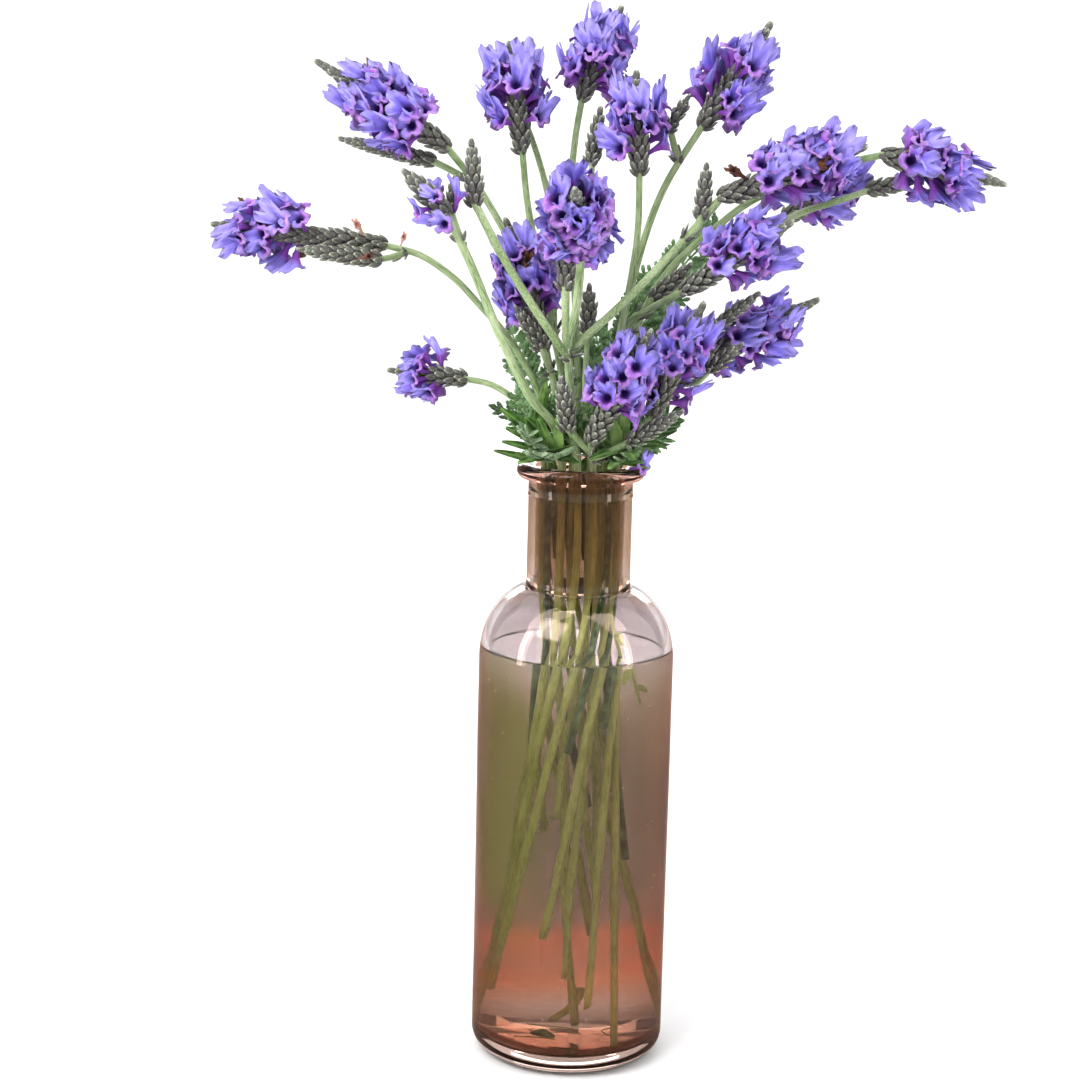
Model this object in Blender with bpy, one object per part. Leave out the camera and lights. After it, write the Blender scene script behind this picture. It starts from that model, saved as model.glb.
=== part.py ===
"""Fern-leaved lavender standing in water in a tinted glass bottle.

The origin is the centre of the bottle's flat underside, +Z is up and -Y is the front.
Lengths are written in millimetres times MM, so every value below is in metres.
"""

import math
from collections import namedtuple
from random import Random

import bmesh
import bpy
from mathutils import Matrix, Vector

MM = 0.001

# Bottle
BOTTLE_HEIGHT = 200 * MM
BODY_RADIUS = 32 * MM
BODY_WALL = 2.75 * MM
BASE_THICKNESS = 6 * MM
HEEL_RADIUS = 7 * MM
INNER_HEEL_RADIUS = 5 * MM
SHOULDER_START = 135 * MM
SHOULDER_RISE = 24.4 * MM
SHOULDER_CENTRE = 14 * MM
INNER_SHOULDER_RISE = 22.15 * MM
INNER_SHOULDER_CENTRE = 12.5 * MM
NECK_RADIUS = 17 * MM
NECK_INNER_RADIUS = 14.5 * MM
LIP_RADIUS = 21 * MM
LIP_HEIGHT = 5.5 * MM
MOUTH_EASING = 1.0 * MM
# Arcs of the profile: from and to in degrees from the outward direction, and the number of steps.
HEEL_ARC = (-90, 0, 3)
INNER_HEEL_ARC = (-90, 0, 2)
SHOULDER_ARC = (0, 80, 5)
INNER_SHOULDER_ARC = (0, 83, 4)
LIP_ARC = (-80, 90, 5)
TURNED_SEGMENTS = 32
WELD_DISTANCE = 1e-7
SHARP_ANGLE = math.radians(35)

# Water
WATER_LEVEL = 138.5 * MM
CLEARANCE = 0.3 * MM
HOLE_ALLOWANCE = 1.25 * CLEARANCE
NEAR_FLOOR = BASE_THICKNESS + 6 * MM
FLOOR_OVERCUT = 3 * MM

# How the stems stand in the bottle
STEM_SIDES = 6
OUTER_SLOTS = 15
OUTER_RING = 12.2 * MM
OUTER_FOOT = 23.5 * MM
INNER_SLOTS = 6
INNER_RING = 6.0 * MM
INNER_FOOT = 11.5 * MM
TWIST = math.radians(-100)
RUN_TOP = 160 * MM
MOUTH = 198 * MM
FLOOR_GAP = 1.2 * MM
BRANCH_THINNING = 0.78
STEM_TAPER = 0.2
BRANCH_TAPER = 0.05
SHOOT_TAPER = 0.3

# Spikes and florets
SCALE_PITCH = 4.4 * MM
SCALE_DEPTH = 0.26
SPIKE_FULLNESS = 1.25
SPIKE_TIP = 0.3
CORE_RADIUS = 1.7 * MM
CORE_STEP = 0.6 * MM
SLEEVE_WALL = 1.8 * MM
SLEEVE_SIDES = 6
ROOT_DEPTH = 0.8 * MM
WHORL = 4
LOBES = 5
TUBE_SIDES = 3
TUBE_WIDTH = 2.2 * MM
TUBE_SHARE = 0.42
THROAT_DEPTH = 0.4
NOTCH_REACH = 0.7
UPPER_LIP = 1.1
LOWER_LIP = 0.95
LOBE_RISE = 0.04
NOTCH_DROP = 0.1
FLORET_LENGTH = 7.9 * MM
FLORET_WIDTH = 13.4 * MM
FIRST_LEAN = 4
ADDED_LEAN = 38
LEAN_VARIETY = 4
SPIN_VARIETY = 14
PLACE_VARIETY = 1.0 * MM

# Leaves
BLADE_THICKNESS = 1.3 * MM
BLADE_THINNING = 0.45
FERN_STEPS = 4
FERN_RIB = 0.9 * MM
FERN_TIP = 0.5 * MM
LOBE_LEAN = 0.3

Plant = namedtuple("Plant", "name ring slot reach_down thickness stalks")
Stalk = namedtuple("Stalk", "points tip spike_width bloom")
Bloom = namedtuple("Bloom", "name start end rows spread")
Sprig = namedtuple("Sprig", "name ring slot reach_down thickness stem leaves")
Leaf = namedtuple("Leaf", "root middle tip width kind facing")

FRONT = Vector((0, -1, 0))
UPWARD = Vector((0, -0.6, 0.8))

PLANTS = [
    Plant(
        "upper_left", "outer", 5, 1, 3.2,
        [
            Stalk(
                [
                    (-6.5, 13, 216), (-8, 17, 230), (-13, 19, 247), (-22, 18, 264), (-35, 13, 286),
                    (-46, 9, 300),
                ],
                (-88, 10, 326), 7.4, Bloom("upper_left", 0.22, 0.86, 3, 1),
            ),
            Stalk(
                [(-38, 12, 289), (-45, 14, 292.5), (-51, 17, 295)],
                (-82, 27, 301), 6, None,
            ),
        ],
    ),
    Plant(
        "left_bud", "outer", 10, 0.62, 3.6,
        [
            Stalk(
                [(-9, -15, 214), (-17, -19, 224), (-27, -21, 244), (-36, -22, 265), (-44, -22, 281)],
                (-57, -26, 294), 7, Bloom("left_bud", 0.3, 0.7, 2, 0.9),
            ),
            Stalk(
                [(-39, -22, 271), (-42, -20, 279), (-43, -19, 282)],
                (-42, -17, 292), 4.4, None,
            ),
        ],
    ),
    Plant(
        "centre", "outer", 11, 1, 3.8,
        [
            Stalk(
                [
                    (-3, -15, 212), (-4, -17, 224), (-5, -19, 241), (-3, -24, 252), (-2, -32, 267),
                    (-2.5, -42, 277),
                ],
                (-4, -76, 293), 7.4, Bloom("centre_front", 0.12, 0.8, 3, 1),
            ),
            Stalk(
                [(-5, -18, 238), (-6, -21, 246), (-6.5, -22.5, 259)],
                (-4.5, -12, 288), 7, Bloom("centre_back", 0.24, 0.74, 2, 0.9),
            ),
            Stalk(
                [
                    (-4.5, -18, 236), (-9, -20, 242), (-18, -21, 255), (-27, -20, 269),
                    (-35.5, -16.5, 284),
                ],
                (-37, -14, 303), 6.4, None,
            ),
            Stalk(
                [
                    (-4.5, -18, 237), (0, -18, 243), (8, -15, 250), (20, -11, 262), (32, -7, 275),
                    (42, -5, 287),
                ],
                (86, -10, 304), 7.6, Bloom("centre_right", 0.26, 0.88, 3, 1),
            ),
            Stalk(
                [(31, -7.5, 274), (35, -7, 277.5), (36, -6, 281)],
                (37, -4, 297), 6.2, None,
            ),
        ],
    ),
    Plant(
        "upper_centre", "inner", 2, 0.7, 3,
        [
            Stalk(
                [
                    (-4.5, 6.5, 214), (-7, 7, 227), (-12, 10, 251), (-17, 14, 269), (-20, 18, 283),
                    (-22, 20, 299),
                ],
                (-27, 26, 333), 7.2, Bloom("upper_centre", 0.24, 0.88, 3, 1),
            ),
            Stalk(
                [
                    (-10, 9, 241), (-10.5, 15, 252), (-11.5, 24, 268), (-13.5, 32, 284),
                    (-19, 38, 301), (-25, 41, 314),
                ],
                (-35, 43, 331), 6.4, None,
            ),
        ],
    ),
    Plant(
        "top", "outer", 4, 0.45, 3,
        [
            Stalk(
                [
                    (-1.5, 14, 214), (-2, 16, 228), (-4, 21, 257), (-6, 26, 283), (-5, 29, 302),
                    (-3, 30.5, 316),
                ],
                (9, 34, 345), 7, Bloom("top", 0.16, 0.82, 3, 0.96),
            ),
            Stalk(
                [(-5, 25, 276), (-3, 22, 282), (0, 19, 288), (1, 18, 296)],
                (3, 18, 313), 6.4, None,
            ),
        ],
    ),
    Plant(
        "centre_high", "inner", 0, 0.85, 3,
        [
            Stalk(
                [
                    (7.5, -0.5, 214), (8.5, -1, 228), (11, -1, 240), (14, 0, 258), (16, 1.5, 275),
                    (16, 2, 294),
                ],
                (14, 0, 325), 7.2, Bloom("centre_high", 0.18, 0.84, 3, 0.92),
            ),
        ],
    ),
    Plant(
        "upper_right", "outer", 2, 1, 3.2,
        [
            Stalk(
                [
                    (9, 11, 215), (9.5, 12.5, 229), (12.5, 14.5, 246), (18.5, 13, 272), (25, 12, 290),
                    (36, 10, 309),
                ],
                (56, 6, 341), 7.6, Bloom("upper_right", 0.16, 0.84, 3, 1.04),
            ),
            Stalk(
                [(29, 11.5, 297), (27, 11, 302), (25.5, 10, 308)],
                (31, 7, 318), 5.4, None,
            ),
        ],
    ),
    Plant(
        "far_left", "outer", 7, 0.8, 3,
        [
            Stalk(
                [
                    (-13, 5, 214), (-15, 6, 223), (-24, 8, 238), (-35, 9, 250), (-43, 9, 258),
                    (-54, 10, 265), (-66, 10, 268),
                ],
                (-121, 8, 273.5), 7.4, Bloom("far_left", 0.46, 0.9, 3, 0.92),
            ),
            Stalk(
                [(-58, 10, 266), (-63, 6, 264.5), (-67, 2, 264)],
                (-92, -3, 267), 6.4, None,
            ),
        ],
    ),
    Plant(
        "left_low", "outer", 8, 0.55, 2.8,
        [
            Stalk(
                [(-12.8, -2.5, 206), (-16, -1.5, 214), (-22, 0, 220), (-30, 2, 224.5), (-39, 3, 226)],
                (-63, 4, 228), 6.6, Bloom("left_low", 0.34, 0.78, 2, 0.84),
            ),
        ],
    ),
    Plant(
        "centre_left", "inner", 3, 1, 3,
        [
            Stalk(
                [(-7.5, -1, 214), (-9.5, -2, 225), (-12.5, -3, 238)],
                (-26, -4, 278), 7.2, Bloom("centre_left", 0.24, 0.84, 3, 0.88),
            ),
            Stalk(
                [(-10.5, -2.5, 230), (-12, -8, 234), (-13.5, -12, 239)],
                (-22, -18, 252), 5.4, None,
            ),
        ],
    ),
    Plant(
        "far_right", "outer", 1, 0.9, 3.2,
        [
            Stalk(
                [
                    (12.5, 6.5, 215), (14, 9, 229), (18, 12.5, 246), (27, 13, 262), (40, 11, 275),
                    (52, 9, 285), (65, 9, 291), (78, 9, 297), (94, 8, 301),
                ],
                (132, 2, 293), 7.6, Bloom("far_right", 0.16, 0.8, 3, 1),
            ),
        ],
    ),
    Plant(
        "right", "inner", 1, 0.6, 3.2,
        [
            Stalk(
                [
                    (4.5, 5.5, 213), (8.5, 5, 227), (14, 3.5, 245), (20, 0, 250), (24, -4, 253),
                    (31, -9, 257.5),
                ],
                (63, -24, 281), 7.2, Bloom("right", 0.3, 0.86, 3, 0.92),
            ),
            Stalk(
                [
                    (13, 4, 242), (20, 6, 249), (28, 9, 254.5), (43, 15, 265), (56, 20, 273),
                    (65, 24, 279),
                ],
                (91, 35, 297), 7, Bloom("right_back", 0.3, 0.8, 2, 0.95),
            ),
            Stalk(
                [(62, 23, 277), (70, 19, 281.5), (79, 14.5, 285), (91, 18, 289)],
                (108, 24, 293), 6.4, None,
            ),
            Stalk(
                [(17, 2, 247.5), (20, 3.5, 251), (22, 3, 254)],
                (33, -1, 265), 5.8, None,
            ),
        ],
    ),
    Plant(
        "low_right", "outer", 14, 0.75, 3.4,
        [
            Stalk(
                [(14, -4, 206), (20, -1, 213), (27, 4, 221), (34, 9, 231)],
                (75, 9, 254), 7.6, Bloom("low_right", 0.24, 0.86, 3, 0.92),
            ),
            Stalk(
                [(14.5, -4, 207), (18, -8, 211.5), (22, -12, 218)],
                (37, -15, 254), 7.4, Bloom("low_right_front", 0.14, 0.84, 3, 0.88),
            ),
            Stalk(
                [(31, 6.5, 226), (34, 1, 232), (39, -1.5, 243)],
                (55, -5, 257), 5.4, None,
            ),
            Stalk(
                [(31.5, 7, 227), (36, 1, 227), (40, -5, 232)],
                (50, -9, 241), 5.6, None,
            ),
        ],
    ),
    Plant(
        "front", "outer", 12, 0.9, 3.4,
        [
            Stalk(
                [(3, -14.5, 205), (3, -17.5, 210)],
                (20, -41, 248), 7.4, Bloom("front", 0.24, 0.88, 3, 0.9),
            ),
            Stalk(
                [(3, -14.5, 205.5), (-1, -17.5, 210), (-4.5, -19.5, 214)],
                (-7, -26, 231), 6.4, None,
            ),
            Stalk(
                [(3.2, -14, 203.5), (8, -16.5, 206), (15, -19, 210)],
                (31, -30, 222), 6, None,
            ),
        ],
    ),
    Plant(
        "back_bud", "inner", 5, 0.5, 2.6,
        [
            Stalk(
                [(1, -5.5, 214), (0.5, -5.5, 228), (1, -5, 244)],
                (1, -5.5, 258), 6.2, None,
            ),
        ],
    ),
]

SPRIGS = [
    Sprig(
        "leaf_sprig_back_left", "outer", 6, 0.5, 2.2,
        [(-11.5, 9.5, 207), (-14, 13, 215)],
        [
            Leaf((-13, 11.5, 212), (-19, 17, 226), (-27, 21, 241), 11, "fern", FRONT),
            Leaf((-12, 10.5, 208), (-22, 15, 214), (-31, 17, 219), 8, "fern", UPWARD),
        ],
    ),
    Sprig(
        "leaf_sprig_left", "outer", 9, 0.4, 2.4,
        [(-10.8, -9, 204), (-12.5, -11, 208)],
        [
            Leaf((-10.5, -8.8, 202.5), (-20, -13, 204), (-30, -15, 206.5), 5, "lance", UPWARD),
            Leaf((-11, -9.5, 204), (-19, -15, 208), (-27, -19, 212), 4.6, "lance", UPWARD),
            Leaf((-12, -10.5, 206.5), (-19, -10, 213), (-25, -11, 219.5), 4.6, "lance", FRONT),
            Leaf((-11, -9.5, 204), (-13, -16, 204.5), (-18, -21, 203), 6, "lance", UPWARD),
            Leaf((-12.3, -10.8, 207.5), (-17, -10.5, 214), (-22, -11, 221), 9, "fern", FRONT),
            Leaf((-11.8, -10, 206), (-13.5, -12.5, 216), (-13, -12, 227), 4.4, "lance", FRONT),
            Leaf((-11.8, -10, 206), (-14, -18, 208.5), (-17, -24, 212), 8, "fern", UPWARD),
        ],
    ),
    Sprig(
        "leaf_sprig_front_right", "outer", 13, 0.35, 2.4,
        [(9.4, -10.5, 203), (11.5, -12.5, 206)],
        [
            Leaf((8.8, -9.6, 201.5), (14.5, -14, 203), (22, -15, 201.5), 5.4, "lance", UPWARD),
            Leaf((10.5, -11.5, 204.5), (12, -19, 204), (9, -26, 202.5), 5.2, "lance", UPWARD),
            Leaf((11, -12, 205.5), (15, -22, 207), (17, -29, 206), 5.2, "lance", UPWARD),
        ],
    ),
    Sprig(
        "leaf_sprig_right", "outer", 0, 0.3, 2.4,
        [(14.2, 1, 203), (17, 1.5, 206)],
        [
            Leaf((15.5, 1.2, 204.5), (24, -1, 207.5), (32, -2, 213), 10, "fern", FRONT),
            Leaf((16.5, 1.4, 205.5), (22, 7, 204), (29, 11, 203), 8, "fern", UPWARD),
            Leaf((14.5, 1, 203.2), (23, -5, 203), (30, -9, 204), 7, "fern", UPWARD),
        ],
    ),
    Sprig(
        "leaf_sprig_back", "outer", 3, 0.6, 2.2,
        [(4, 14.5, 212), (9, 20, 226)],
        [
            Leaf((8, 19, 223), (22, 27, 250), (43, 33, 274), 12, "fern", FRONT),
            Leaf((5, 15.5, 214.5), (6, 26, 228), (3, 35, 240), 9, "fern", FRONT),
        ],
    ),
]


def in_metres(point):
    return Vector(point) * MM


def clear_scene():
    for thing in list(bpy.data.objects):
        bpy.data.objects.remove(thing, do_unlink=True)


def material(name, colour, roughness, transmission=0.0, ior=1.45):
    made = bpy.data.materials.new(name)
    made.use_nodes = True
    shader = made.node_tree.nodes["Principled BSDF"]
    shader.inputs["Base Color"].default_value = (*colour, 1)
    shader.inputs["Roughness"].default_value = roughness
    shader.inputs["Metallic"].default_value = 0.0
    shader.inputs["Transmission Weight"].default_value = transmission
    shader.inputs["IOR"].default_value = ior
    made.diffuse_color = (*colour, 1)
    return made


def new_object(name, bm, finish=None):
    """An object in the scene from a bmesh, which is freed."""
    bmesh.ops.recalc_face_normals(bm, faces=bm.faces)
    mesh = bpy.data.meshes.new(name)
    bm.to_mesh(mesh)
    bm.free()
    mesh.shade_smooth()
    mesh.set_sharp_from_angle(angle=SHARP_ANGLE)
    if finish:
        mesh.materials.append(finish)
    made = bpy.data.objects.new(name, mesh)
    bpy.context.scene.collection.objects.link(made)
    return made


def joined(name, pieces, finish):
    """One object from overlapping closed pieces, fused by a Boolean union and then applied."""
    body = pieces[0]
    others = bpy.data.collections.new(name + "_pieces")
    for piece in pieces[1:]:
        bpy.context.scene.collection.objects.unlink(piece)
        others.objects.link(piece)
    bpy.context.scene.collection.children.link(others)
    union = body.modifiers.new("Union", "BOOLEAN")
    union.operation = "UNION"
    union.solver = "EXACT"
    union.operand_type = "COLLECTION"
    union.collection = others
    graph = bpy.context.evaluated_depsgraph_get()
    mesh = bpy.data.meshes.new_from_object(body.evaluated_get(graph))
    for piece in pieces:
        bpy.data.objects.remove(piece, do_unlink=True)
    bpy.data.collections.remove(others)
    mesh.name = name
    mesh.materials.clear()
    mesh.materials.append(finish)
    mesh.shade_smooth()
    mesh.set_sharp_from_angle(angle=SHARP_ANGLE)
    made = bpy.data.objects.new(name, mesh)
    bpy.context.scene.collection.objects.link(made)
    return made


def turned(name, profile, finish):
    """A closed profile of (radius, height) points turned round the Z axis."""
    bm = bmesh.new()
    points = [bm.verts.new((radius, 0, height)) for radius, height in profile]
    edges = [bm.edges.new(pair) for pair in zip(points, points[1:])]
    bmesh.ops.spin(
        bm, geom=points + edges, cent=(0, 0, 0), axis=(0, 0, 1),
        angle=math.tau, steps=TURNED_SEGMENTS, use_merge=True,
    )
    bmesh.ops.remove_doubles(bm, verts=bm.verts, dist=WELD_DISTANCE)
    return new_object(name, bm, finish)


def arc(centre_radius, centre_height, across, up, span):
    """Points of an ellipse's arc, whose span holds its start, its end and its number of steps."""
    start, end, steps = span
    found = []
    for step in range(steps + 1):
        turn = math.radians(start + (end - start) * step / steps)
        found.append((centre_radius + across * math.cos(turn), centre_height + up * math.sin(turn)))
    return found


def inside_profile(shrink):
    """The inside of the bottle from the middle of its floor to the top of its shoulder, moved in by shrink."""
    wall = BODY_RADIUS - BODY_WALL
    heel = arc(
        wall - INNER_HEEL_RADIUS, BASE_THICKNESS + INNER_HEEL_RADIUS,
        INNER_HEEL_RADIUS - shrink, INNER_HEEL_RADIUS - shrink, INNER_HEEL_ARC,
    )
    shoulder = arc(
        INNER_SHOULDER_CENTRE, SHOULDER_START, wall - INNER_SHOULDER_CENTRE - shrink,
        INNER_SHOULDER_RISE - shrink, INNER_SHOULDER_ARC,
    )
    return [(0, BASE_THICKNESS + shrink)] + heel, shoulder


def build_bottle(finish):
    heel = arc(BODY_RADIUS - HEEL_RADIUS, HEEL_RADIUS, HEEL_RADIUS, HEEL_RADIUS, HEEL_ARC)
    across = BODY_RADIUS - SHOULDER_CENTRE
    shoulder = arc(SHOULDER_CENTRE, SHOULDER_START, across, SHOULDER_RISE, SHOULDER_ARC)
    under_lip = BOTTLE_HEIGHT - LIP_HEIGHT
    lip_middle = LIP_RADIUS - LIP_HEIGHT / 2
    lip = arc(lip_middle, under_lip + LIP_HEIGHT / 2, LIP_HEIGHT / 2, LIP_HEIGHT / 2, LIP_ARC)
    floor, inner_shoulder = inside_profile(0)
    outside = [(0, 0)] + heel + shoulder + [(NECK_RADIUS, under_lip)] + lip
    mouth = [
        (NECK_INNER_RADIUS + MOUTH_EASING, BOTTLE_HEIGHT),
        (NECK_INNER_RADIUS, BOTTLE_HEIGHT - MOUTH_EASING),
    ]
    inside = list(reversed(floor + inner_shoulder))
    return turned("glass_bottle", outside + mouth + inside, finish)


def shoulder_radius_at(height, shrink):
    rise = (height - SHOULDER_START) / (INNER_SHOULDER_RISE - shrink)
    across = BODY_RADIUS - BODY_WALL - INNER_SHOULDER_CENTRE - shrink
    return INNER_SHOULDER_CENTRE + across * math.sqrt(1 - rise * rise)


def build_water(finish, routes):
    """The water, with a plain hole for every stem that stands in it."""
    floor, _ = inside_profile(CLEARANCE)
    surface = [(shoulder_radius_at(WATER_LEVEL, CLEARANCE), WATER_LEVEL), (0, WATER_LEVEL)]
    wall = [(floor[-1][0], SHOULDER_START)]
    water = turned("water", floor + wall + surface, finish)
    holes = bpy.data.collections.new("water_holes")
    bpy.context.scene.collection.children.link(holes)
    for foot, top, radius in routes:
        along = (top - foot).normalized()
        low = foot - along * CLEARANCE
        if foot.z < NEAR_FLOOR:
            low = foot - along * (foot.z - BASE_THICKNESS + FLOOR_OVERCUT)
        wider = radius + HOLE_ALLOWANCE
        hole = sweep([low, top], lambda ring, side, t: wider, STEM_SIDES)
        hole = new_object("stem_hole", hole)
        bpy.context.scene.collection.objects.unlink(hole)
        holes.objects.link(hole)
    cut = water.modifiers.new("Stem holes", "BOOLEAN")
    cut.operation = "DIFFERENCE"
    cut.solver = "EXACT"
    cut.operand_type = "COLLECTION"
    cut.collection = holes
    graph = bpy.context.evaluated_depsgraph_get()
    mesh = bpy.data.meshes.new_from_object(water.evaluated_get(graph))
    water.modifiers.clear()
    water.data = mesh
    for hole in list(holes.objects):
        bpy.data.objects.remove(hole, do_unlink=True)
    bpy.data.collections.remove(holes)
    mesh.materials.clear()
    mesh.materials.append(finish)
    return water


def smooth_path(points, steps):
    """A smooth curve through the points, with this many steps between two of them."""
    padded = [2 * points[0] - points[1]] + points + [2 * points[-1] - points[-2]]
    found = [points[0]]
    for before, start, end, after in zip(padded, padded[1:], padded[2:], padded[3:]):
        for step in range(1, steps + 1):
            t = step / steps
            found.append(
                0.5 * (
                    2 * start
                    + (end - before) * t
                    + (2 * before - 5 * start + 4 * end - after) * t * t
                    + (3 * start - before - 3 * end + after) * t * t * t
                )
            )
    return found


def frames_along(points, facing=None):
    """A matrix at each point, whose Z follows the path and whose axes turn as little as they can."""
    ways = [(points[min(i + 1, len(points) - 1)] - points[max(i - 1, 0)]).normalized() for i in range(len(points))]
    side = (facing or ways[0].orthogonal()).cross(ways[0]).normalized()
    frames = []
    for point, way in zip(points, ways):
        side = (side - way * side.dot(way)).normalized()
        across = way.cross(side)
        turn = Matrix((side, across, way)).transposed().to_4x4()
        frames.append(Matrix.Translation(point) @ turn)
    return frames


def sweep(points, radius, sides, facing=None, forward=None):
    """A closed tube along the points: radius(ring, side, t), and forward(ring, side, t) slides a corner along."""
    bm = bmesh.new()
    tag = bm.verts.layers.int.new("side")
    bmesh.ops.create_circle(bm, cap_ends=True, segments=sides, radius=1)
    for side, vert in enumerate(bm.verts):
        vert[tag] = side
    bm.faces.ensure_lookup_table()
    cap = bm.faces[0]
    frames = frames_along(points, facing)
    for ring, frame in enumerate(frames):
        if ring:
            made = bmesh.ops.extrude_face_region(bm, geom=[cap])
            if ring > 1:
                bmesh.ops.delete(bm, geom=[cap], context="FACES_ONLY")
            cap = next(item for item in made["geom"] if isinstance(item, bmesh.types.BMFace))
        t = ring / (len(frames) - 1)
        for vert in cap.verts:
            turn = math.tau * vert[tag] / sides
            reach = radius(ring, vert[tag], t)
            slide = forward(ring, vert[tag], t) if forward else 0
            vert.co = frame @ Vector((math.cos(turn) * reach, math.sin(turn) * reach, slide))
    return bm


def slot_position(ring, slot):
    """Where a stem stands at the top of its straight run in the bottle, and where that run would meet the floor."""
    outer = ring == "outer"
    turn = math.tau * slot / (OUTER_SLOTS if outer else INNER_SLOTS)
    at_neck, at_floor = (OUTER_RING, OUTER_FOOT) if outer else (INNER_RING, INNER_FOOT)
    top = Vector((at_neck * math.cos(turn), at_neck * math.sin(turn), RUN_TOP))
    low = turn + TWIST
    foot = Vector((at_floor * math.cos(low), at_floor * math.sin(low), BASE_THICKNESS + FLOOR_GAP))
    return top, foot


def bottle_route(standing):
    """The foot of the stem's straight run through the water, and its points in the neck."""
    top, foot = slot_position(standing.ring, standing.slot)
    foot = top.lerp(foot, standing.reach_down)
    return foot, [top, Vector((top.x, top.y, MOUTH))]


def spike_rings(stalk):
    """Pairs of a place along the spike, from 0 to 1, and whether the scales show there: a bloom hides a slim core."""
    length = (in_metres(stalk.tip) - in_metres(stalk.points[-1])).length
    stretches = [(0, length)]
    if stalk.bloom:
        low, high = stalk.bloom.start * length, stalk.bloom.end * length
        stretches = [(0, low - 2 * CORE_STEP), (high + 2 * CORE_STEP, length)]
    rings = []
    for start, end in stretches:
        if rings:
            rings += [((low - CORE_STEP) / length, False), ((high + CORE_STEP) / length, False)]
        steps = max(2, round((end - start) / SCALE_PITCH))
        rings += [((start + (end - start) * step / steps) / length, True) for step in range(steps + 1)]
    return rings[1:]


def stalk_piece(path, stalk, thickness, taper):
    """A stem that ends in its spike, whose overlapping calyces are raised from its surface as staggered scales."""
    base, tip = path[-1], in_metres(stalk.tip)
    rings = spike_rings(stalk)
    points = path + [base.lerp(tip, share) for share, scaly in rings]
    stem_radius = thickness * MM / 2
    spike_radius = stalk.spike_width * MM / 2
    last_of_stem = len(path) - 1

    def radius(ring, side, t):
        if ring <= last_of_stem:
            return stem_radius * (1 - taper * ring / last_of_stem)
        share, scaly = rings[ring - last_of_stem - 1]
        if not scaly:
            return CORE_RADIUS
        if share == 1:
            return spike_radius * SPIKE_TIP
        swell = min(1.0, SPIKE_FULLNESS * math.sin(math.pi * (0.16 + 0.76 * share)))
        return spike_radius * swell * (1 - SCALE_DEPTH if (ring + side) % 2 else 1)

    return new_object("stalk", sweep(points, radius, STEM_SIDES))


def sleeve_piece(frame, low, high):
    """The ring that the florets' tubes grow together in, round the spike's core."""
    inner = (CORE_RADIUS + CLEARANCE) / math.cos(math.pi / SLEEVE_SIDES)
    outer = inner + SLEEVE_WALL
    bm = bmesh.new()
    corners = [(inner, low), (outer, low + SLEEVE_WALL), (outer, high - SLEEVE_WALL), (inner, high)]
    face = bm.faces.new([bm.verts.new((radius, 0, height)) for radius, height in corners])
    outline = list(face.edges)
    bmesh.ops.delete(bm, geom=[face], context="FACES_ONLY")
    bmesh.ops.spin(
        bm, geom=outline + list(bm.verts), cent=(0, 0, 0), axis=(0, 0, 1),
        angle=math.tau, steps=SLEEVE_SIDES, use_merge=True,
    )
    bmesh.ops.transform(bm, matrix=frame, verts=bm.verts)
    return new_object("sleeve", bm)


def floret_piece(place, width, length):
    """A two-lipped floret: a slim tube, a limb of five lobes with the upper two larger, and a hollow throat."""
    bm = bmesh.new()
    bmesh.ops.create_circle(bm, cap_ends=True, segments=TUBE_SIDES, radius=TUBE_WIDTH / 2)
    bm.faces.ensure_lookup_table()
    made = bmesh.ops.extrude_face_region(bm, geom=[bm.faces[0]])["geom"]
    neck = next(item for item in made if isinstance(item, bmesh.types.BMFace))
    bmesh.ops.translate(bm, verts=neck.verts, vec=(0, 0, length * TUBE_SHARE))
    neck_edges = list(neck.edges)
    bmesh.ops.delete(bm, geom=[neck], context="FACES_ONLY")
    corners = bmesh.ops.create_circle(
        bm, cap_ends=True, segments=2 * LOBES, radius=width / 2, matrix=Matrix.Translation((0, 0, length)),
    )["verts"]
    limb = next(face for face in corners[0].link_faces)
    bmesh.ops.bridge_loops(bm, edges=neck_edges + list(limb.edges))
    for corner in corners:
        turn = round(math.atan2(corner.co.y, corner.co.x) / (math.pi / LOBES)) % (2 * LOBES)
        lobe = turn % 2 == 1
        reach = (1 if lobe else NOTCH_REACH) * (UPPER_LIP if corner.co.y > 0 else LOWER_LIP)
        corner.co.x *= reach
        corner.co.y *= reach
        corner.co.z += length * (LOBE_RISE if lobe else -NOTCH_DROP)
    throat = bmesh.ops.poke(bm, faces=[limb])["verts"]
    bmesh.ops.translate(bm, verts=throat, vec=(0, 0, -length * THROAT_DEPTH))
    bmesh.ops.transform(bm, matrix=place, verts=bm.verts)
    return new_object("floret", bm)


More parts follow.
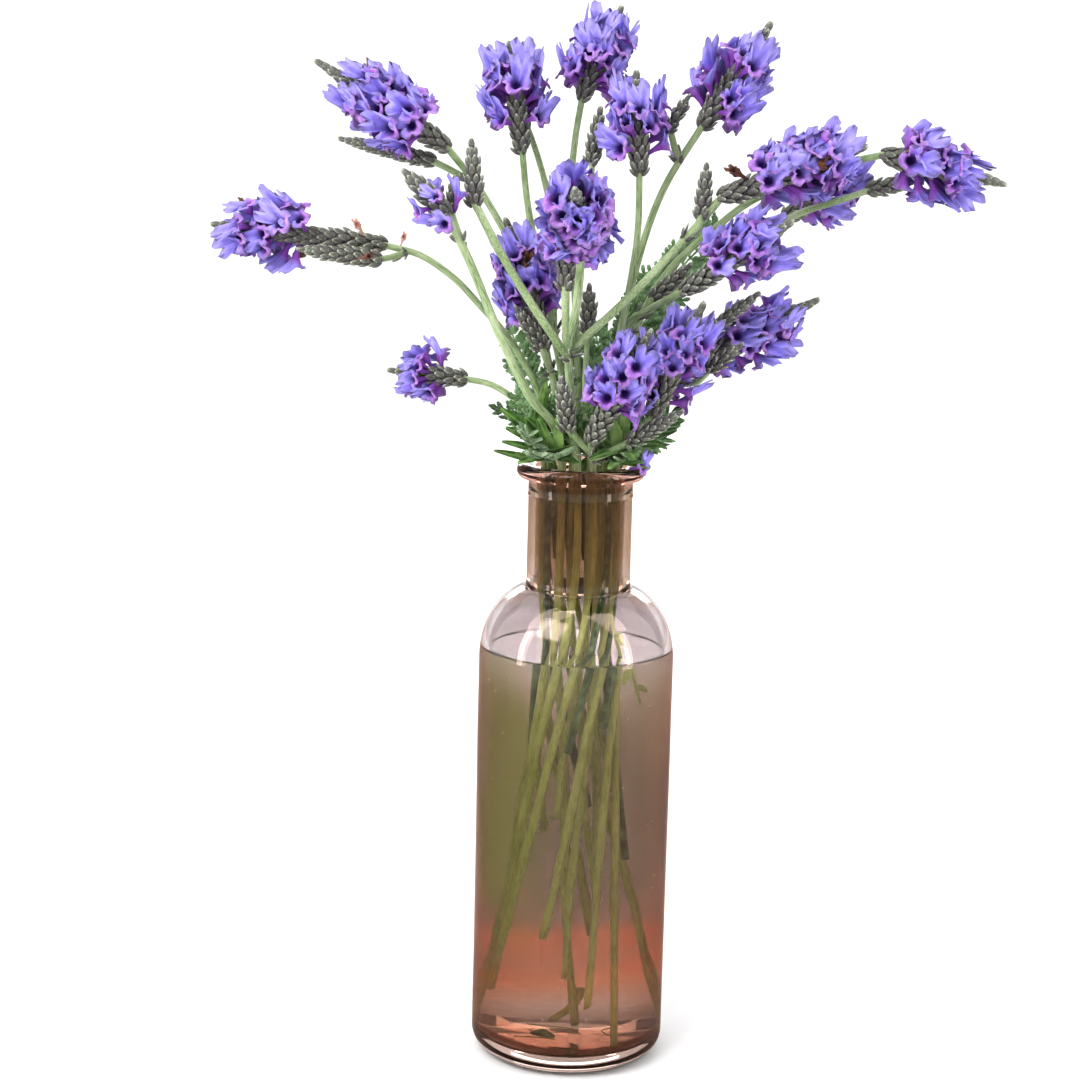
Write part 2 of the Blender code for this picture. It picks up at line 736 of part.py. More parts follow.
def bloom_node(stalk, finish, number):
    """All the florets of one head, in staggered whorls round the spike's flowering stretch."""
    draw = Random(40 + number)
    bloom = stalk.bloom
    base, tip = in_metres(stalk.points[-1]), in_metres(stalk.tip)
    low, high = ((tip - base).length * share for share in (bloom.start, bloom.end))
    frame = frames_along([base, tip])[0]
    pieces = [sleeve_piece(frame, low, high)]
    first = draw.uniform(0, math.tau)
    for row in range(bloom.rows):
        share = (row + 0.5) / bloom.rows
        for index in range(WHORL):
            turn = first + math.tau * (index + 0.5 * row + draw.uniform(-0.05, 0.05)) / WHORL
            lean = math.radians(FIRST_LEAN + ADDED_LEAN * share + draw.uniform(-1, 1) * LEAN_VARIETY)
            size = bloom.spread * draw.uniform(0.95, 1.05)
            along = low + (high - low) * share + draw.uniform(-1, 1) * PLACE_VARIETY
            root = Matrix.Translation((CORE_RADIUS + CLEARANCE + ROOT_DEPTH, 0, along))
            pointing = Matrix.Rotation(math.pi / 2 - lean, 4, "Y") @ Matrix.Rotation(-math.pi / 2, 4, "Z")
            spun = Matrix.Rotation(math.radians(draw.uniform(-1, 1) * SPIN_VARIETY), 4, "Z")
            place = frame @ Matrix.Rotation(turn, 4, "Z") @ root @ pointing @ spun
            pieces.append(floret_piece(place, FLORET_WIDTH * size, FLORET_LENGTH * size))
    return joined("florets_" + bloom.name, pieces, finish)


def lance_leaf(leaf):
    """A narrow pointed blade with a raised midrib."""
    points = smooth_path([in_metres(leaf.root), in_metres(leaf.middle), in_metres(leaf.tip)], 2)

    def radius(ring, side, t):
        if side % 2:
            return BLADE_THICKNESS / 2 * (1 - BLADE_THINNING * t)
        return leaf.width * MM / 2 * (0.24 + 0.8 * math.sin(math.pi * (0.1 + 0.86 * t)))

    return new_object("blade", sweep(points, radius, 4, facing=leaf.facing))


def fern_leaf(leaf):
    """A blade cut almost to its rib into pointed lobes that lean forward."""
    points = smooth_path([in_metres(leaf.root), in_metres(leaf.middle), in_metres(leaf.tip)], FERN_STEPS)
    last = len(points) - 1

    def outline(t):
        return 0.3 + 0.7 * math.sin(math.pi * min(1, 0.18 + t * 0.86))

    def radius(ring, side, t):
        if side % 2:
            return BLADE_THICKNESS / 2 * (1 - BLADE_THINNING * t)
        if ring == last:
            return FERN_TIP
        return leaf.width * MM / 2 * outline(t) if ring % 2 else FERN_RIB

    def forward(ring, side, t):
        lobe = ring % 2 and side % 2 == 0 and ring != last
        return LOBE_LEAN * leaf.width * MM * outline(t) if lobe else 0

    return new_object("blade", sweep(points, radius, 4, facing=leaf.facing, forward=forward))


def plant_node(plant, finish):
    """A stem with its side branches and their spikes, fused into one."""
    foot, neck = bottle_route(plant)
    pieces = []
    for number, stalk in enumerate(plant.stalks):
        points = [in_metres(point) for point in stalk.points]
        path = [foot] + neck + points if number == 0 else points
        thickness = plant.thickness * (1 if number == 0 else BRANCH_THINNING)
        taper = STEM_TAPER if number == 0 else BRANCH_TAPER
        pieces.append(stalk_piece(path, stalk, thickness, taper))
    return joined("stem_" + plant.name, pieces, finish)


def sprig_node(sprig, finish):
    """A leafy shoot, its blades fused to its stem."""
    makers = {"lance": lance_leaf, "fern": fern_leaf}
    foot, neck = bottle_route(sprig)
    radius = sprig.thickness * MM / 2
    path = [foot] + neck + [in_metres(point) for point in sprig.stem]
    pieces = [new_object("shoot", sweep(path, lambda ring, side, t: radius * (1 - SHOOT_TAPER * t), STEM_SIDES))]
    pieces += [makers[leaf.kind](leaf) for leaf in sprig.leaves]
    return joined(sprig.name, pieces, finish)


def main():
    clear_scene()
    glass = material("tinted_glass", (0.78, 0.45, 0.36), 0.03, 0.9, 1.5)
    clear_water = material("water", (0.93, 0.95, 0.93), 0.01, 1.0, 1.333)
    green = material("sage_stem", (0.36, 0.42, 0.28), 0.75)
    leaf_green = material("leaf_green", (0.2, 0.33, 0.1), 0.65)
    violet = material("violet_petal", (0.33, 0.2, 0.7), 0.6)
    build_bottle(glass)
    routes = []
    for standing in PLANTS + SPRIGS:
        foot, neck = bottle_route(standing)
        if foot.z < WATER_LEVEL:
            routes.append((foot, neck[0], standing.thickness * MM / 2))
    build_water(clear_water, routes)
    for plant in PLANTS:
        plant_node(plant, green)
    for sprig in SPRIGS:
        sprig_node(sprig, leaf_green)
    blooming = [stalk for plant in PLANTS for stalk in plant.stalks if stalk.bloom]
    for number, stalk in enumerate(blooming):
        bloom_node(stalk, violet, number)


main()
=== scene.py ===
"""Fern-leaved lavender standing in water in a tinted glass bottle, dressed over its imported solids.

Lengths are in millimetres where nothing says metres, and a factor of MM turns them into metres. Every
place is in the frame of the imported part: the origin is the centre of the bottle's underside, +Z is up
and -Y is the front.
"""

import logging
import math
from collections.abc import Callable, Sequence
from dataclasses import dataclass, field
from enum import Enum
from functools import cache, reduce
from random import Random

import bmesh
import bpy
from mathutils import Matrix, Vector

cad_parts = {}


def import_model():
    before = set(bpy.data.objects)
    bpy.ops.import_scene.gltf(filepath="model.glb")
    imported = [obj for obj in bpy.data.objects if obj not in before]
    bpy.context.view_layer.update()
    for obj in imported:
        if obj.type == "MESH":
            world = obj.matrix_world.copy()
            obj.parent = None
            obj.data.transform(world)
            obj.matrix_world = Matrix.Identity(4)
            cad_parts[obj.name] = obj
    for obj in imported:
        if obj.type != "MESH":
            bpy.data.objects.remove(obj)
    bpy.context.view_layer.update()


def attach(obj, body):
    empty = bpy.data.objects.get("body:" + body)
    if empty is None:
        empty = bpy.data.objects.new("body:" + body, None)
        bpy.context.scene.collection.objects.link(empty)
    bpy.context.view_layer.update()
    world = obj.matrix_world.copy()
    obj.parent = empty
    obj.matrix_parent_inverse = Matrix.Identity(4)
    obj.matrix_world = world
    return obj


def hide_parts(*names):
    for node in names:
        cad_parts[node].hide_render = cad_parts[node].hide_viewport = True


LOG = logging.getLogger("lavender")
MM = 0.001
FRONT = Vector((0, -1, 0))
UPWARD = Vector((0, -0.6, 0.8))
BLACK = (0.0, 0.0, 0.0)
WHITE = (1.0, 1.0, 1.0)

# Names of the values that the shapes carry for their finishes, and the tones of dried florets.
REACH = "reach"
SIDE = "side"
CREST = "crest"
TONE = "tone"
WITHERED = 2.0
PAPERY = 3.0

# How the stems stand in the bottle, as in the solids.
TWIST = math.radians(-100)
RUN_TOP = 160.0
MOUTH = 198.0
FOOT_HEIGHT = 7.2

Point = tuple[float, float, float]
Colour = tuple[float, float, float]
Pair = tuple[float, float]
Section = Callable[[float, float], Pair]
Stops = Sequence[tuple[float, Colour]]
Material = bpy.types.Material
Mesh = bpy.types.Mesh
Socket = bpy.types.NodeSocket


class Slot(Enum):
    """The record's material slots."""

    GLASS = "tinted_glass"
    WATER = "water"
    STEM = "sage_stem"
    LEAF = "leaf_green"
    PETAL = "violet_petal"


class Ring(Enum):
    """The two rings of stems: places in each, and its radii in the neck and on the bottle's floor."""

    OUTER = (15, 12.2, 23.5)
    INNER = (6, 6.0, 11.5)


class LeafKind(Enum):
    """The leaf shapes of the bunch."""

    LANCE = "lance"
    FERN = "fern"
    SILVER = "silver_fern"
    BROAD = "broad"


OUTER, INNER = Ring
LANCE, FERN, SILVER, BROAD = LeafKind


@dataclass(frozen=True)
class Bloom:
    """The flowering stretch of a spike.

    Args:
        name: The head's name, which its solid carries too.
        start: Share of the spike's length where the florets begin.
        end: Share of the spike's length where they stop.
        spread: Size of the florets against a full one.
        bare: The direction in which the braid shows between the florets, if it does.
        bare_until: Share of the stretch up to which it shows.
        around: Florets in a whorl.
    """

    name: str
    start: float
    end: float
    spread: float
    bare: Point | None = None
    bare_until: float = 0.6
    around: int = 8


@dataclass(frozen=True)
class Stalk:
    """One stem or side branch, and the spike at its end.

    Args:
        points: Places along the stem, in millimetres.
        tip: The spike's tip, in millimetres.
        width: The spike's width, in millimetres.
        bloom: Its flowering stretch, or None on a bud.
    """

    points: Sequence[Point]
    tip: Point
    width: float
    bloom: Bloom | None = None


@dataclass(frozen=True)
class Leaf:
    """One leaf: its root, middle and tip in millimetres, its width, kind and the way its face looks."""

    root: Point
    middle: Point
    tip: Point
    width: float
    kind: LeafKind
    facing: Vector

    def path(self, spacing: float) -> list[Vector]:
        """Its midrib in metres, with a point about every spacing in millimetres."""
        return path_through((self.root, self.middle, self.tip), spacing)


# Shapes


def metres(point: Sequence[float]) -> Vector:
    """A place in millimetres as a vector in metres."""
    return Vector(point) * MM


def rotated(axis: str, degrees: float) -> Matrix:
    """A turn about an axis."""
    return Matrix.Rotation(math.radians(degrees), 4, axis)


def moved(*point: float) -> Matrix:
    """A shift by a distance in millimetres."""
    return Matrix.Translation(metres(point))


def standing(frame: Matrix, along: float, turn: float, out: float, lean: float) -> Matrix:
    """A place round an axis: its distances along and out in millimetres, and its angles in radians."""
    round_axis = frame @ moved(0, 0, along) @ Matrix.Rotation(turn, 4, "Z")
    return round_axis @ moved(0, out, 0) @ Matrix.Rotation(lean, 4, "X")


def tapering(start: Pair, end: Pair) -> Section:
    """The section of a tube whose half width and half thickness go evenly from start to end."""
    return lambda share, turn: tuple(first + (last - first) * share for first, last in zip(start, end))


def blade(ends: float, belly: float, thick: float) -> Section:
    """The section of a small leaf, whose half width swells by the belly between its ends."""
    return lambda share, turn: (ends + belly * math.sin(math.pi * share), thick)


def smooth_path(points: Sequence[Vector], spacing: float) -> list[Vector]:
    """A smooth curve through the points, with a point about every spacing.

    Args:
        points: Places along the path.
        spacing: The usual distance between the curve's points.

    Returns:
        The curve's points, from the first place to the last.
    """
    padded = [2 * points[0] - points[1], *points, 2 * points[-1] - points[-2]]
    found = [points[0]]
    for before, start, end, after in zip(padded, padded[1:], padded[2:], padded[3:]):
        steps = max(1, round((end - start).length / spacing))
        for step in range(1, steps + 1):
            t = step / steps
            found.append(
                0.5 * (
                    2 * start
                    + (end - before) * t
                    + (2 * before - 5 * start + 4 * end - after) * t * t
                    + (3 * start - before - 3 * end + after) * t * t * t
                )
            )
    return found


def path_through(points: Sequence[Point], spacing: float) -> list[Vector]:
    """A smooth curve in metres through places in millimetres, with a point about every spacing."""
    return smooth_path([metres(point) for point in points], spacing * MM)


def frames_along(points: Sequence[Vector], facing: Vector | None = None) -> list[Matrix]:
    """A matrix at each point, whose Z follows the path and whose Y looks the way of facing.

    Args:
        points: The path's points.
        facing: The way that Y looks, or None for any way.

    Returns:
        A matrix for each point.
    """
    last = len(points) - 1
    ways = [(points[min(i + 1, last)] - points[max(i - 1, 0)]).normalized() for i in range(last + 1)]
    side = (facing or ways[0].orthogonal()).cross(ways[0]).normalized()
    frames = []
    for point, way in zip(points, ways):
        side = (side - way * side.dot(way)).normalized()
        turn = Matrix((side, way.cross(side), way)).transposed().to_4x4()
        frames.append(Matrix.Translation(point) @ turn)
    return frames


@cache
def unit_tube(count: int, sides: int) -> Mesh:
    """A closed tube of unit rings, one unit apart along Z.

    Args:
        count: How many rings it has.
        sides: How many points a ring has.

    Returns:
        The tube, which is kept for the next call.
    """
    bm = bmesh.new()
    made = bmesh.ops.create_circle(bm, segments=sides, radius=1)["verts"]
    geom = [*made, *bm.edges]
    bmesh.ops.spin(bm, geom=geom, axis=(0, 0, 1), dvec=(0, 0, 1), angle=0, steps=count - 1)
    bmesh.ops.holes_fill(bm, edges=[edge for edge in bm.edges if edge.is_boundary], sides=0)
    mesh = bpy.data.meshes.new("unit_tube")
    bm.to_mesh(mesh)
    bm.free()
    return mesh


def linked(name: str, data: bpy.types.ID) -> bpy.types.Object:
    """A new object in the scene.

    Args:
        name: The object's name.
        data: Its mesh, camera or lamp.

    Returns:
        The object.
    """
    made = bpy.data.objects.new(name, data)
    bpy.context.scene.collection.objects.link(made)
    return made


class Shape:
    """A mesh in the making, whose points carry the values that the finishes read."""

    def __init__(self) -> None:
        """Starts an empty mesh with a layer for each value."""
        self.bm = bmesh.new()
        self.layers = {name: self.bm.verts.layers.float.new(name) for name in (REACH, SIDE, CREST, TONE)}

    def rings(self, count: int, sides: int) -> list[bmesh.types.BMVert]:
        """Adds a closed tube of unit rings, one unit apart along Z, and returns its points."""
        return self.added(unit_tube(count, sides))

    def added(self, mesh: Mesh) -> list[bmesh.types.BMVert]:
        """Adds a copy of a mesh.

        Args:
            mesh: The mesh to copy.

        Returns:
            The points of the copy.
        """
        count = len(self.bm.verts)
        self.bm.from_mesh(mesh)
        self.bm.verts.ensure_lookup_table()
        return self.bm.verts[count:]

    def tube(
        self, points: Sequence[Vector], section: Section, sides: int, tone: float,
        facing: Vector | None = None, fold: float = 0, end: float = 1, slide: Section | None = None,
    ) -> None:
        """Adds a closed tube along the points.

        Args:
            points: The path, in metres.
            section: Half width and half thickness in millimetres at a share of the path and an angle.
            sides: Sides of the section.
            tone: The value that the finish reads for this tube.
            facing: The way that the thin side looks.
            fold: How far the edges stand up, against their distance from the middle.
            end: The reach value at the path's end, which starts at 0.
            slide: Shift across and along the path, in millimetres, at a share and an angle.
        """
        frames = frames_along(points, facing)
        last = len(frames) - 1
        for vert in self.rings(len(frames), sides):
            ring = round(vert.co.z)
            turn = math.atan2(vert.co.y, vert.co.x)
            share = ring / last
            wide, thick = section(share, turn)
            across = wide * math.cos(turn)
            up = thick * math.sin(turn) + fold * abs(across)
            aside, along = slide(share, turn) if slide else (0, 0)
            vert[self.layers[REACH]] = end * share
            vert[self.layers[SIDE]] = abs(math.cos(turn))
            vert[self.layers[CREST]] = 0.5 + 0.5 * math.sin(turn)
            vert[self.layers[TONE]] = tone
            vert.co = frames[ring] @ Vector(((across + aside) * MM, up * MM, along * MM))

    def stamp(self, template: Mesh, place: Matrix, tone: float) -> None:
        """Adds a copy of a template at a place, with its own tone.

        Args:
            template: The mesh to copy.
            place: Where the copy goes.
            tone: The value that the finish reads for it.
        """
        added = self.added(template)
        layer = self.layers[TONE]
        for vert in added:
            vert[layer] = tone
        bmesh.ops.transform(self.bm, matrix=place, verts=added)

    def mesh(self, name: str) -> Mesh:
        """The finished mesh, shaded smooth, its faces looking outwards.

        Args:
            name: The mesh's name.

        Returns:
            The mesh.
        """
        bmesh.ops.recalc_face_normals(self.bm, faces=self.bm.faces)
        made = bpy.data.meshes.new(name)
        self.bm.to_mesh(made)
        self.bm.free()
        made.shade_smooth()
        return made

    def piece(self, name: str, finish: Material, slot: Slot, *nodes: str) -> bpy.types.Object:
        """Puts the shape in the scene as a piece of the part.

        Args:
            name: The piece's name.
            finish: Its material.
            slot: The record's slot; not used.
            nodes: The solids that it stands for.

        Returns:
            The new object.
        """
        made = linked(name, self.mesh(name))
        made.data.materials.append(finish)
        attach(made, "root")
        if nodes:
            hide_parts(*nodes)
        LOG.info("%s made", name)
        return made


# Finishes


@dataclass(frozen=True)
class Felt:
    """How a soft surface takes the light.

    Args:
        roughness: How rough it is.
        gloss: Its specular level.
        sheen: The weight of its sheen.
        spread: The roughness of its sheen.
        tint: The tint of its sheen.
    """

    roughness: float
    gloss: float
    sheen: float
    spread: float
    tint: Colour


class Graph:
    """A material under construction."""

    def __init__(self, name: str) -> None:
        """Starts a material.

        Args:
            name: The material's name.
        """
        self.material = bpy.data.materials.new(name)
        self.material.use_nodes = True
        self.tree = self.material.node_tree
        self.shader = self.tree.nodes["Principled BSDF"]

    def put(self, node: bpy.types.Node, inputs: dict) -> bpy.types.Node:
        """Sets a node's inputs to values, or links them where the value is another node's output.

        Args:
            node: The node.
            inputs: Names or numbers of its inputs, with their values.

        Returns:
            The node.
        """
        for name, value in inputs.items():
            socket = node.inputs[name]
            if isinstance(value, Socket):
                self.tree.links.new(value, socket)
            else:
                socket.default_value = (*value, 1) if socket.type == "RGBA" else value
        return node

    def add(self, kind: str, inputs: dict, **settings: object) -> bpy.types.Node:
        """A new node of this kind, with its settings and inputs.

        Args:
            kind: The node's type, without its prefix.
            inputs: Names or numbers of its inputs, with their values.
            settings: Its other properties.

        Returns:
            The node.
        """
        node = self.tree.nodes.new("ShaderNode" + kind)
        for name, value in settings.items():
            setattr(node, name, value)
        return self.put(node, inputs)

    def finished(self, inputs: dict) -> Material:
        """Sets the shader's inputs and returns the material."""
        self.put(self.shader, inputs)
        return self.material

    def felted(self, colour: Socket, felt: Felt, normal: Socket) -> Material:
        """Makes the surface soft, with its colour and relief, and returns the material.

        Args:
            colour: The surface's colour.
            felt: How it takes the light.
            normal: Its relief.

        Returns:
            The material.
        """
        return self.finished(
            {
                "Base Color": colour, "Normal": normal, "Roughness": felt.roughness,
                "Specular IOR Level": felt.gloss, "Sheen Weight": felt.sheen,
                "Sheen Roughness": felt.spread, "Sheen Tint": felt.tint,
            }
        )

    def value(self, name: str) -> Socket:
        """One of the values that the shape's points carry."""
        return self.add("Attribute", {}, attribute_name=name).outputs["Fac"]

    def facing(self) -> Socket:
        """0 where the surface is seen straight on, and 1 where it is seen edgewise."""
        return self.add("LayerWeight", {"Blend": 0.5}).outputs["Facing"]

    def place(self) -> Socket:
        """The place in the object's frame, in metres."""
        return self.add("TexCoord", {}).outputs["Object"]

    def height(self) -> Socket:
        """The height above the table, in metres."""
        return self.add("SeparateXYZ", {"Vector": self.place()}).outputs["Z"]

    def noise(self, scale: float, detail: float, stretch: Point = (1, 1, 1)) -> Socket:
        """Noise between 0 and 1 over the object's place, with features of about 1 / scale metres."""
        scaled = self.add("Mapping", {"Vector": self.place(), "Scale": stretch}).outputs["Vector"]
        return self.add("TexNoise", {"Vector": scaled, "Scale": scale, "Detail": detail}).outputs["Fac"]

    def fibres(self, scale: float, length: float) -> Socket:
        """Noise drawn out along a tube, from the values that its points carry.

        Args:
            scale: How fine the fibres are.
            length: How often they change along the tube.

        Returns:
            The noise, from 0 to 1.
        """
        along = self.times(self.value(REACH), length)
        inputs = {"X": self.value(CREST), "Y": self.value(SIDE), "Z": along}
        place = self.add("CombineXYZ", inputs).outputs["Vector"]
        return self.add("TexNoise", {"Vector": place, "Scale": scale, "Detail": 3}).outputs["Fac"]

    def maths(self, operation: str, first: object, second: object = 0.0, clamp: bool = False) -> Socket:
        """A sum, product or other operation on two values."""
        return self.add("Math", {0: first, 1: second}, operation=operation, use_clamp=clamp).outputs[0]

    def times(self, *values: object) -> Socket:
        """The product of the values."""
        return reduce(lambda first, second: self.maths("MULTIPLY", first, second), values)

    def plus(self, *values: object) -> Socket:
        """The sum of the values."""
        return reduce(lambda first, second: self.maths("ADD", first, second), values)

    def less(self, first: object, second: object, clamp: bool = False) -> Socket:
        """The first value less the second."""
        return self.maths("SUBTRACT", first, second, clamp)

    def step(self, value: object, start: float, end: float, kind: str = "SMOOTHSTEP") -> Socket:
        """A value's way from start to end, as 0 to 1."""
        return self.add("MapRange", {"Value": value, 1: start, 2: end}, interpolation_type=kind).outputs[0]

    def ramp(self, factor: object, stops: Stops) -> Socket:
        """A colour read off a row of stops.

        Args:
            factor: Where the row is read.
            stops: Places from 0 to 1, with their colours.

        Returns:
            The colour.
        """
        node = self.add("ValToRGB", {"Fac": factor})
        elements = node.color_ramp.elements
        while len(elements) < len(stops):
            elements.new(1)
        for element, (place, colour) in zip(elements, stops):
            element.position = place
            element.color = (*colour, 1)
        return node.outputs["Color"]

    def band(self, value: object, places: Sequence[float]) -> Socket:
        """White between the inner two of four places and black outside them, or white past two places."""
        return self.ramp(value, tuple(zip(places, (BLACK, WHITE, WHITE, BLACK))))

    def blend(self, factor: object, first: object, second: object) -> Socket:
        """Two colours mixed by a factor."""
        return self.add("Mix", {0: factor, 6: first, 7: second}, data_type="RGBA").outputs[2]

    def bump(self, height: object, strength: float, distance: float) -> Socket:
        """A normal that is raised by the height."""
        inputs = {"Height": height, "Strength": strength, "Distance": distance}
        return self.add("Bump", inputs).outputs["Normal"]


@dataclass(frozen=True)
class Patch:
    """A soft patch of another tint in the glass.

    Args:
        centre: Its middle, in metres.
        size: Its half sizes, in metres.
        tint: Its tint.
        strength: How strongly it shows.
    """

    centre: Point
    size: Point
    tint: Colour
    strength: float

    def shown(self, graph: Graph, uneven: Socket) -> Socket:
        """1 in the patch's middle, falling to 0 at its uneven edge.

        Args:
            graph: The glass's material.
            uneven: What moves the edge in and out.

        Returns:
            The share of the patch's tint.
        """
        inputs = {"Vector": graph.place(), "Location": self.centre, "Scale": self.size}
        local = graph.add("Mapping", inputs, vector_type="TEXTURE").outputs["Vector"]
        ball = graph.add("TexGradient", {"Vector": local}, gradient_type="SPHERICAL").outputs["Fac"]
        return graph.step(graph.plus(graph.times(ball, 2.2), uneven), 0.25, 0.75)


@dataclass(frozen=True)
class GlassFinish:
    """Clear blown glass with a rose-brown tint that warms towards the foot, with painted reflection round
    the shoulder and painted shade at the back.

    Args:
        name: The material's name.
        stops: Heights in metres and the tint of the glass there; the pale lilac tints round the shoulder
            and the water line are painted reflection.
        tallest: The height where the tints end.
        slanted: The height up to which the orange foot's edge slants and wanders.
        slant: How it slants, in height over width.
        wander: How far it wanders up and down, in metres.
        body: Shares of the height between which the patches and streaks fade in and out.
        walls: Shares of the height between which the back is painted deeper than the front, as shade.
        heel: Shares of the height from which edges seen edgewise are deeper.
        patches: Olive on the body's left, and smoky in its middle.
        patchiness: How uneven the patches' edges are.
        smoke: The tint of fine upright streaks.
        streaks: How much of the glass they take up, as levels of their noise.
        streakiness: How strongly they show.
        rose: The tint where the glass is seen at a slant.
        slanting: How much at a slant that is, from its first trace to the full tint.
        rosiness: How strongly it shows.
        radius: The body's radius, in metres.
        painted_back_shade: How much deeper the tint is at the back, and paler at the front: painted shade
            behind and painted light in front, so that the stems inside look lit.
        edging: How much deeper it is where the glass is seen edgewise.
        gloss: The tint of its reflections.
    """

    name: str = "rose_glass"
    stops: Stops = (
        (0.000, (0.32, 0.225, 0.195)),
        (0.005, (0.42, 0.31, 0.275)),
        (0.010, (0.52, 0.39, 0.35)),
        (0.018, (0.61, 0.38, 0.29)),
        (0.033, (0.62, 0.30, 0.205)),
        (0.038, (0.44, 0.30, 0.25)),
        (0.060, (0.46, 0.35, 0.29)),
        (0.105, (0.44, 0.36, 0.29)),
        # Painted reflection: from here to the neck the tint turns pale lilac, as a bright reflection on
        # the shoulder and the water would look.
        (0.126, (0.54, 0.47, 0.41)),
        (0.136, (0.68, 0.62, 0.62)),
        (0.142, (0.60, 0.54, 0.54)),
        (0.151, (0.68, 0.62, 0.64)),
        (0.160, (0.48, 0.38, 0.32)),
        (0.172, (0.37, 0.265, 0.19)),
        (0.193, (0.335, 0.235, 0.165)),
        (0.1955, (0.60, 0.36, 0.30)),
    )
    tallest: float = 0.2
    slanted: float = 0.11
    slant: float = -0.22
    wander: float = 0.012
    body: tuple[float, ...] = (0.19, 0.24, 0.60, 0.70)
    walls: tuple[float, ...] = (0.03, 0.10, 0.955, 0.97)
    heel: tuple[float, ...] = (0.03, 0.10)
    patches: tuple[Patch, ...] = (
        Patch((-0.017, 0.0, 0.082), (0.016, 0.2, 0.062), (0.36, 0.36, 0.18), 0.85),
        Patch((0.003, 0.0, 0.070), (0.014, 0.2, 0.060), (0.33, 0.27, 0.23), 0.8),
    )
    patchiness: float = 1.25
    smoke: Colour = (0.33, 0.27, 0.23)
    streaks: tuple[float, ...] = (0.42, 0.62)
    streakiness: float = 0.3
    rose: Colour = (0.61, 0.40, 0.33)
    slanting: Pair = (0.27, 0.45)
    rosiness: float = 0.8
    radius: float = 0.032
    painted_back_shade: float = 0.62
    edging: float = 1.2
    gloss: Colour = (1.0, 0.78, 0.72)

    def build(self) -> Material:
        """Makes the material, whose orange foot ends along a slanting line.

        Returns:
            The material.
        """
        graph = Graph(self.name)
        place = graph.add("SeparateXYZ", {"Vector": graph.place()}).outputs
        facing = graph.facing()
        low = graph.less(1.0, graph.maths("DIVIDE", place["Z"], self.slanted), clamp=True)
        wander = graph.times(graph.less(graph.noise(28, 1), 0.5), self.wander, low)
        height = graph.plus(place["Z"], graph.times(place["X"], self.slant, low), wander)
        share = graph.maths("DIVIDE", height, self.tallest, clamp=True)
        tint = graph.ramp(share, [(level / self.tallest, colour) for level, colour in self.stops])
        body = graph.band(share, self.body)
        rosy = graph.times(graph.step(facing, *self.slanting), body, self.rosiness)
        tint = graph.blend(rosy, tint, self.rose)
        uneven = graph.times(graph.less(graph.noise(70, 2, (1, 1, 0.45)), 0.5), self.patchiness)
        for patch in self.patches:
            shown = graph.times(patch.shown(graph, uneven), body, patch.strength)
            tint = graph.blend(shown, tint, patch.tint)
        streaks = graph.band(graph.noise(210, 1, (1, 1, 0.07)), self.streaks)
        tint = graph.blend(graph.times(streaks, body, self.streakiness), tint, self.smoke)
        edge = graph.times(graph.maths("POWER", facing, 4.0), self.edging, graph.band(share, self.heel))
        # Painted shade and light: the tint deepens towards the back and pales towards the front.
        behind = graph.maths("DIVIDE", place["Y"], self.radius)
        depth = graph.times(behind, self.painted_back_shade, graph.band(share, self.walls))
        strength = graph.plus(1.0, depth, edge)
        tint = graph.add("Gamma", {"Color": tint, "Gamma": strength}).outputs["Color"]
        return graph.finished(
            {
                "Base Color": tint, "Roughness": 0.0, "IOR": 1.5, "Transmission Weight": 1.0,
                "Specular Tint": self.gloss,
            }
        )


@dataclass(frozen=True)
class WaterFinish:
    """Still clear water.

    Args:
        name: The material's name.
        tint: The tint of one surface.
    """

    name: str = "still_water"
    tint: Colour = (0.95, 0.97, 0.94)

    def build(self) -> Material:
        """Makes the material."""
        inputs = {"Base Color": self.tint, "Roughness": 0.0, "IOR": 1.333, "Transmission Weight": 1.0}
        return Graph(self.name).finished(inputs)


@dataclass(frozen=True)
class AirFinish:
    """Air bubbles in painted reflection: silvery in the middle, darker towards their rims.

    Args:
        name: The material's name.
        light: The silvery painted reflection in their middle.
        dark: The darker painted reflection at their rim.
    """

    name: str = "air_bubble"
    light: Colour = (0.95, 0.95, 0.93)
    dark: Colour = (0.45, 0.42, 0.36)

    def build(self) -> Material:
        """Makes the material.

        Returns:
            The material.
        """
        graph = Graph(self.name)
        # Painted reflection: the colour follows how edgewise the surface is seen.
        colour = graph.ramp(graph.facing(), [(0.3, self.light), (0.8, self.dark)])
        return graph.finished({"Base Color": colour, "Roughness": 0.15})


@dataclass(frozen=True)
class StemFinish:
    """A finely felted grey-green stem with long fibres, with painted light that makes it paler inside the
    bottle.

    Args:
        name: The material's name.
        air: Colours from between the fibres to the raised ones.
        inside_glass: The same inside the bottle, much paler: painted light on the stems that the glass
            shades, reaching up into the neck.
        dry: The heights in metres between which these painted-light colours give way to the others.
        felt: How it takes the light.
    """

    name: str = "felted_stem"
    air: Stops = ((0.34, (0.09, 0.15, 0.05)), (0.46, (0.25, 0.34, 0.16)), (0.62, (0.48, 0.56, 0.35)))
    inside_glass: Stops = ((0.36, (0.42, 0.47, 0.08)), (0.58, (0.90, 0.96, 0.36)))
    dry: Pair = (0.186, 0.2)
    felt: Felt = Felt(0.75, 0.25, 0.5, 0.5, (0.8, 0.85, 0.7))

    def build(self) -> Material:
        """Makes the material.

        Returns:
            The material.
        """
        graph = Graph(self.name)
        fibres = graph.fibres(11, 7)
        level = graph.plus(graph.times(fibres, 0.65), graph.times(graph.noise(70, 3), 0.35))
        # Painted light: up into the neck the stems take the much paler colours.
        dry = graph.step(graph.height(), *self.dry, kind="LINEAR")
        colour = graph.blend(dry, graph.ramp(level, self.inside_glass), graph.ramp(level, self.air))
        return graph.felted(colour, self.felt, graph.bump(fibres, 0.5, 0.0004))


